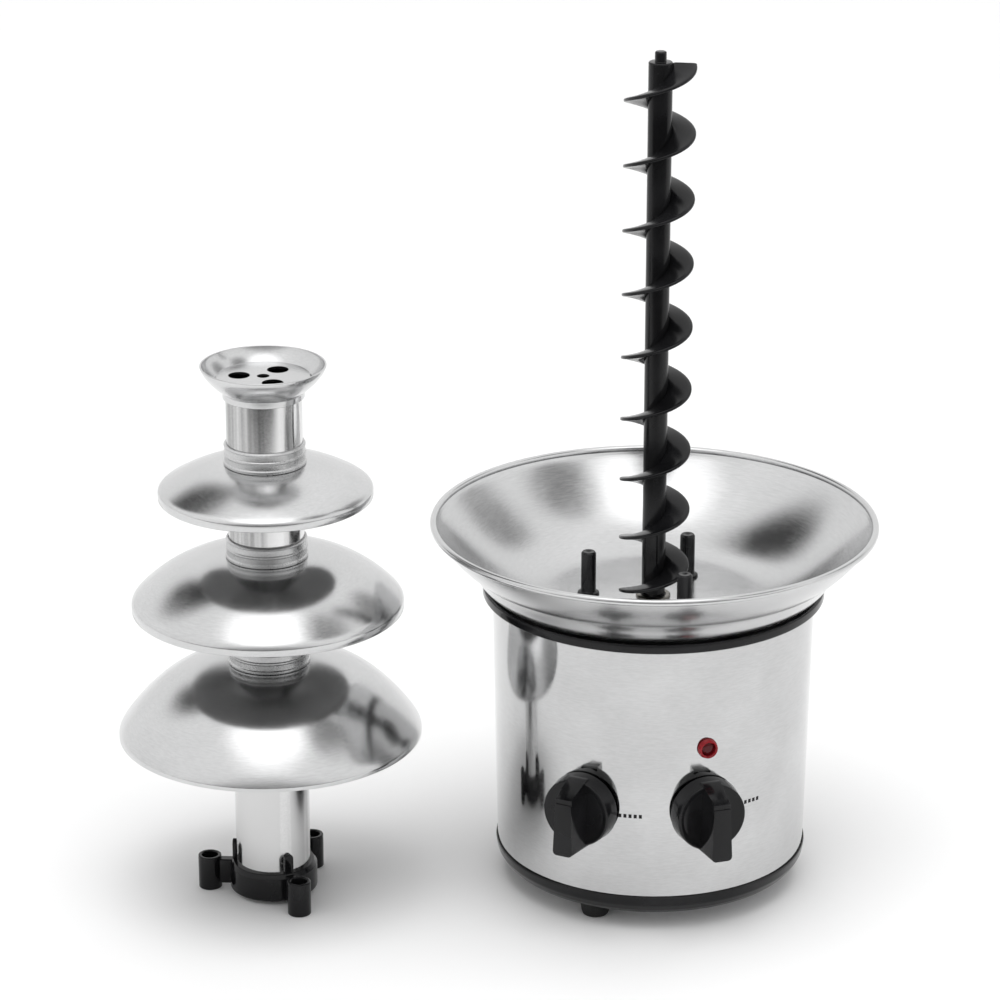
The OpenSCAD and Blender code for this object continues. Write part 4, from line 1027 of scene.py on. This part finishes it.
def makeCrown():
    low, high = nodeBox("crown_cup")
    rim = radiusOf("crown_cup")
    inside = towerTube["radius"] + crown["tubeGap"]
    bead, neck = inside + crown["bead"], low.z + crown["neck"]
    sheet, steps, slant = (crown[label] for label in ("sheet", "steps", "slant"))
    floor = nodeBox("tower_tube")[1].z - crown["floorGap"]

    def flare(share):
        # leaves the bead at a slant and turns up towards the rim
        reach = 1 - (1 - share) ** crown["power"]
        return bead + (rim - bead) * reach, neck + (high.z - neck) * share

    corners = [(inside, low.z, 0), (bead, low.z, 0.4)]
    corners += [(*flare(k / steps), 0.6 if k == 0 else 0) for k in range(steps)]
    corners += [(rim, high.z - 0.1, 0.4), (rim - sheet, high.z, 0.4)]
    floorShare = (floor - neck) / (high.z - neck)
    for k in range(steps - 1, -1, -1):
        share = floorShare + (1 - floorShare) * k / steps
        r, z = flare(share)
        level = sheet * (1 + slant - slant * share)  # the sheet's thickness measured level
        corners.append((r - level, z, 1.0 if k == 0 else 0))
    corners.append((inside, floor, 0))
    piece = turned("crownCup", rounded(corners), towerPlace, steels["tower"], segments=144, sharpAngle=50)
    dress(piece, "tower", "crown_cup")


guide = {"holes": 3, "holeRadius": 5.2, "holeCircle": 11.6, "firstDirection": 176.0, "bore": 3.0,
         "rimPoints": 128, "holePoints": 48, "borePoints": 40}


def buildPlateTree():
    floats = ["Radius", "Thickness", "Bore", "Hole Radius", "Hole Circle", "First Angle"]
    inputs = [(label, "NodeSocketFloat", 0.0) for label in floats]
    inputs += [("Holes", "NodeSocketInt", 3), ("Material", "NodeSocketMaterial", None)]
    tree, start, end = newGroup("drilled plate", inputs, [("Mesh", "NodeSocketGeometry")], "GeometryNodeTree")
    given = start.outputs

    def ring(radius, points):
        inputs = {"Resolution": points, "Radius": radius}
        return wired(tree, "GeometryNodeCurvePrimitiveCircle", inputs).outputs["Curve"]

    def joined(*parts):
        node = addNode(tree, "GeometryNodeJoinGeometry")
        for part in parts:
            tree.links.new(part, node.inputs[0])
        return node.outputs[0]

    circle, hole = ring(given["Hole Circle"], given["Holes"]), ring(given["Hole Radius"], guide["holePoints"])
    copies = wired(tree, "GeometryNodeInstanceOnPoints", {"Points": circle, "Instance": hole}).outputs[0]
    spin = joinVector(tree, z=given["First Angle"])
    turn = wired(tree, "GeometryNodeTransform", {"Geometry": copies, "Rotation": spin}).outputs[0]
    rim, bore = ring(given["Radius"], guide["rimPoints"]), ring(given["Bore"], guide["borePoints"])
    rings = joined(rim, bore, realized(tree, turn))
    sheet = wired(tree, "GeometryNodeFillCurve", {"Curve": rings}).outputs[0]
    # the sheet is pushed up to its thickness, and a flipped copy closes its underside
    inputs = {"Mesh": sheet, "Offset Scale": given["Thickness"], "Individual": False}
    push = wired(tree, "GeometryNodeExtrudeMesh", inputs).outputs["Mesh"]
    under = wired(tree, "GeometryNodeFlipFaces", {0: sheet}).outputs[0]
    closeTree(tree, merged(tree, joined(push, under)), given["Material"], end)
    return tree


def makeGuide():
    low, high = nodeBox("auger_guide")
    values = {
        "Radius": radiusOf("auger_guide") * mm, "Thickness": (high.z - low.z) * mm,
        "Bore": guide["bore"] * mm,
        "Hole Radius": guide["holeRadius"] * mm, "Hole Circle": guide["holeCircle"] * mm,
        "First Angle": math.radians(guide["firstDirection"]), "Holes": guide["holes"]}
    place = towerPlace @ Matrix.Translation((0, 0, low.z))
    piece = grown("augerGuide", buildPlateTree(), values, place, steels["tower"])
    dress(piece, "tower", "auger_guide")


towerFoot = {"collarLow": 2.4, "collarHigh": 14.2, "step": 16.4, "wall": 3.3, "ledge": 0.6, "ledgeTop": 11.9,
             "tubeGap": 0.05, "socket": 5.8, "bore": 4.0, "socketHeight": 17.4, "web": 5.0,
             "webUp": (0.4, 1.4), "webSunk": (2, 1.5), "rib": 4.6, "ribTop": 24.0, "ribFoot": 2,
             "ribGap": 0.08, "ribDepth": 1.9, "circle": 32.0, "firstDirection": 176.0}


def slab(name, place, corners, depth, material, edge):
    # a flat outline in local YZ, pushed along local X
    work = bmesh.new()
    rings = [[work.verts.new(place @ Vector((x, y, z))) for y, z in corners] for x in depth]
    for ring in rings:
        work.faces.new(ring)
    for k in range(len(corners)):
        n = (k + 1) % len(corners)
        work.faces.new((rings[0][k], rings[0][n], rings[1][n], rings[1][k]))
    return bevelled(meshFrom(work, name, material), edge, segments=2)


def makeTowerFoot():
    look, material = towerFoot, plastics["foot"]
    tube = towerTube["radius"]
    inside, ledge, wide = tube + look["tubeGap"], tube - look["ledge"], tube + look["wall"]
    low, high, step, ledgeTop = (look[label] for label in ("collarLow", "collarHigh", "step", "ledgeTop"))
    corners = [
        (ledge, low, 0.4), (wide, low, 0.8), (wide, high, 0.8), (wide - 1.6, step, 0.5), (inside, step, 0),
        (inside, ledgeTop, 0), (ledge, ledgeTop, 0)]
    foot = turned("towerFoot", rounded(corners), towerPlace, material, segments=128)
    bore, socket, top = look["bore"], look["socket"], look["socketHeight"]
    sleeve = rounded([(bore, 0, 0.4), (socket, 0, 0.6), (socket, top, 0.5), (bore, top, 0.6)])
    webHalf, webLow, webTop = look["web"] / 2, low + look["webUp"][0], high + look["webUp"][1]
    web = [(-webHalf, webLow), (webHalf, webLow), (webHalf, webTop), (-webHalf, webTop)]
    webReach = (wide - look["webSunk"][0], look["circle"] - socket + look["webSunk"][1])
    ribHalf, ribLow = look["rib"] / 2, high - look["ribFoot"]
    rib = [(-ribHalf, ribLow), (ribHalf, ribLow)]
    rib += [(p.x, p.y) for p in arc((0, look["ribTop"]), ribHalf, 0, 180, 12)]
    ribReach = (tube + look["ribGap"], tube + look["ribDepth"])
    extras = []
    for k in range(3):
        turn = towerPlace @ Matrix.Rotation(math.radians(look["firstDirection"] + 120 * k), 4, "Z")
        socketPlace = turn @ Matrix.Translation((look["circle"], 0, 0))
        extras.append(turned(f"socket{k}", sleeve, socketPlace, material, segments=64))
        extras.append(slab(f"web{k}", turn, web, webReach, material, edge=0.5))
        extras.append(slab(f"rib{k}", turn, rib, ribReach, material, edge=0.35))
    combined(foot, extras)
    dress(foot, "tower", "tower_foot")


makeTiers()
makeTube()
makeCollars()
makeCrown()
makeGuide()
makeTowerFoot()
print("tower made")


# finishes of the solids that stay as they are

finishes = [
    (steels["zinc"], [
        "base_plate", "foot_screws", "tie_rods", "bush_nut", "bracket_standoffs", "motor_bracket",
        "bracket_screws", "gearbox_screws", "idler_pin", "panel_nuts", "drive_shaft", "motor_spindle",
        "heat_spindle", "motor_can", "motor_stator", "rotor"]),
    (plastics["rubber"], ["bowl_gasket", "shaft_seal"]),
    (plastics["resin"], ["thermal_cutout"]),
    (plastics["natural"], ["gearbox_case", "gearbox_cover", "output_gear", "idler_gear", "terminal_block"]),
    (plastics["black"], ["motor_end_cap", "motor_switch", "heat_control"]),
    (metals["aluminium"], ["heater_plate"]),
    (metals["sheath"], ["heater_tube"]),
    (metals["brass"], ["motor_pinion"]),
    (metals["copper"], ["motor_coils"]),
]
for material, nodeNames in finishes:
    for nodeName in nodeNames:
        nodes[nodeName].data.materials.clear()
        nodes[nodeName].data.materials.append(material)
print("inner pieces finished:", sum(len(nodeNames) for material, nodeNames in finishes))


# floor, light and camera

# a dark patch: its direction, the light left in it, and the angles where it is full and where it ends
studio = {"floorSize": 14.0, "floorGrey": 0.9, "greyDrift": 0.01, "floorRough": 0.9, "floorPatches": 6.0,
          "sheetEnd": (-0.75, -0.55), "paintedReflectionDark": (0.06, 0.06, 0.06), "horizon": 0.98, "zenith": 1.1,
          "zenithSize": (5, 90),
          "darkPatches": [((-0.49, 0.5, 0.71), 0.05, (7, 21)), ((0.53, -0.1, 0.84), 0.25, (5, 18)),
                          ((0.68, 0.5, 0.52), 0.35, (4, 17))],
          "front": (0, -1, 0.06), "frontLevel": 0.45, "frontSize": (12, 50),
          "key": (0.0, -0.28, 0.96), "keyGain": 1.1, "keySize": (6, 30)}


def makeFloor():
    mesh = bpy.data.meshes.new("floor")
    half = studio["floorSize"] / 2
    corners = [(half * x, half * y, 0) for x, y in ((-1, -1), (1, -1), (1, 1), (-1, 1))]
    mesh.from_pydata(corners, [], [(0, 1, 2, 3)])
    floor = bpy.data.objects.new("floor", mesh)
    scene.collection.objects.link(floor)
    material, tree, shader, vector = newMaterial("pale floor", Vector((0, 0, 0)))
    patch = noise(tree, vector, studio["floorPatches"])
    grey, drift = studio["floorGrey"], studio["greyDrift"]
    colour = blendColours(tree, patch, (grey - drift,) * 3, (grey + drift,) * 3)
    # painted reflection: to glossy rays only, the floor in front of the parts turns dark, so the steel
    # mirrors a dark room where the pale sheet would end
    front = spread(tree, splitVector(tree, vector)[1], *studio["sheetEnd"], 1.0, 0.0)
    mirrored = addNode(tree, "ShaderNodeLightPath").outputs["Is Glossy Ray"]
    colour = blendColours(tree, calc(tree, "MULTIPLY", front, mirrored), colour, studio["paintedReflectionDark"])
    tree.links.new(colour, shader.inputs["Base Color"])
    shader.inputs["Roughness"].default_value = studio["floorRough"]
    mesh.materials.append(material)


def makeWorld():
    world = bpy.data.worlds.new("studio")
    world.use_nodes = True
    scene.world = world
    tree = world.node_tree
    coords = addNode(tree, "ShaderNodeTexCoord").outputs["Generated"]

    def around(direction, size, outside, inside):
        # changes softly from one value to another about a direction
        inputs = {0: coords, 1: Vector(direction).normalized()}
        dot = wired(tree, "ShaderNodeVectorMath", inputs, operation="DOT_PRODUCT")
        near, far = (math.cos(math.radians(angle)) for angle in size)
        return spread(tree, dot.outputs["Value"], far, near, outside, inside)

    level = around((0, 0, 1), studio["zenithSize"], studio["horizon"], studio["zenith"])
    for direction, share, size in studio["darkPatches"]:
        level = calc(tree, "MULTIPLY", level, around(direction, size, 1.0, share))
    front = around(studio["front"], studio["frontSize"], 1.0, studio["frontLevel"])
    key = around(studio["key"], studio["keySize"], 0.0, studio["keyGain"])
    level = calc(tree, "ADD", calc(tree, "MULTIPLY", level, front), key)
    tree.links.new(level, tree.nodes["Background"].inputs["Color"])


softbox = {"at": (0.1, -0.4, 1.9), "aim": (0.0, 0.0, 0.1), "size": (1.6, 1.2), "power": 10.0}


def makeSoftbox():
    light = bpy.data.lights.new("overhead", "AREA")
    light.shape = "RECTANGLE"
    light.size, light.size_y = softbox["size"]
    light.energy = softbox["power"]
    panel = bpy.data.objects.new("overhead", light)
    panel.location = softbox["at"]
    aim = Vector(softbox["aim"]) - Vector(softbox["at"])
    panel.rotation_euler = aim.to_track_quat("-Z", "Y").to_euler()
    panel.visible_glossy = False
    scene.collection.objects.link(panel)


view = {"beside": -75.6, "back": 1817.2, "height": 862.1, "down": 20.1, "lens": 142.35, "sensor": 36,
        "clipEnd": 50}


def makeCamera():
    data = bpy.data.cameras.new("camera")
    data.sensor_width = view["sensor"]
    data.lens = view["lens"]
    data.clip_end = view["clipEnd"]
    camera = bpy.data.objects.new("camera", data)
    camera.location = Vector((baseAxis.x + view["beside"], baseAxis.y - view["back"], view["height"])) * mm
    camera.rotation_euler = (math.radians(90 - view["down"]), 0, 0)
    scene.collection.objects.link(camera)
    scene.camera = camera


makeFloor()
makeWorld()
makeSoftbox()
makeCamera()
scene.view_settings.view_transform = "Standard"
print("studio made")
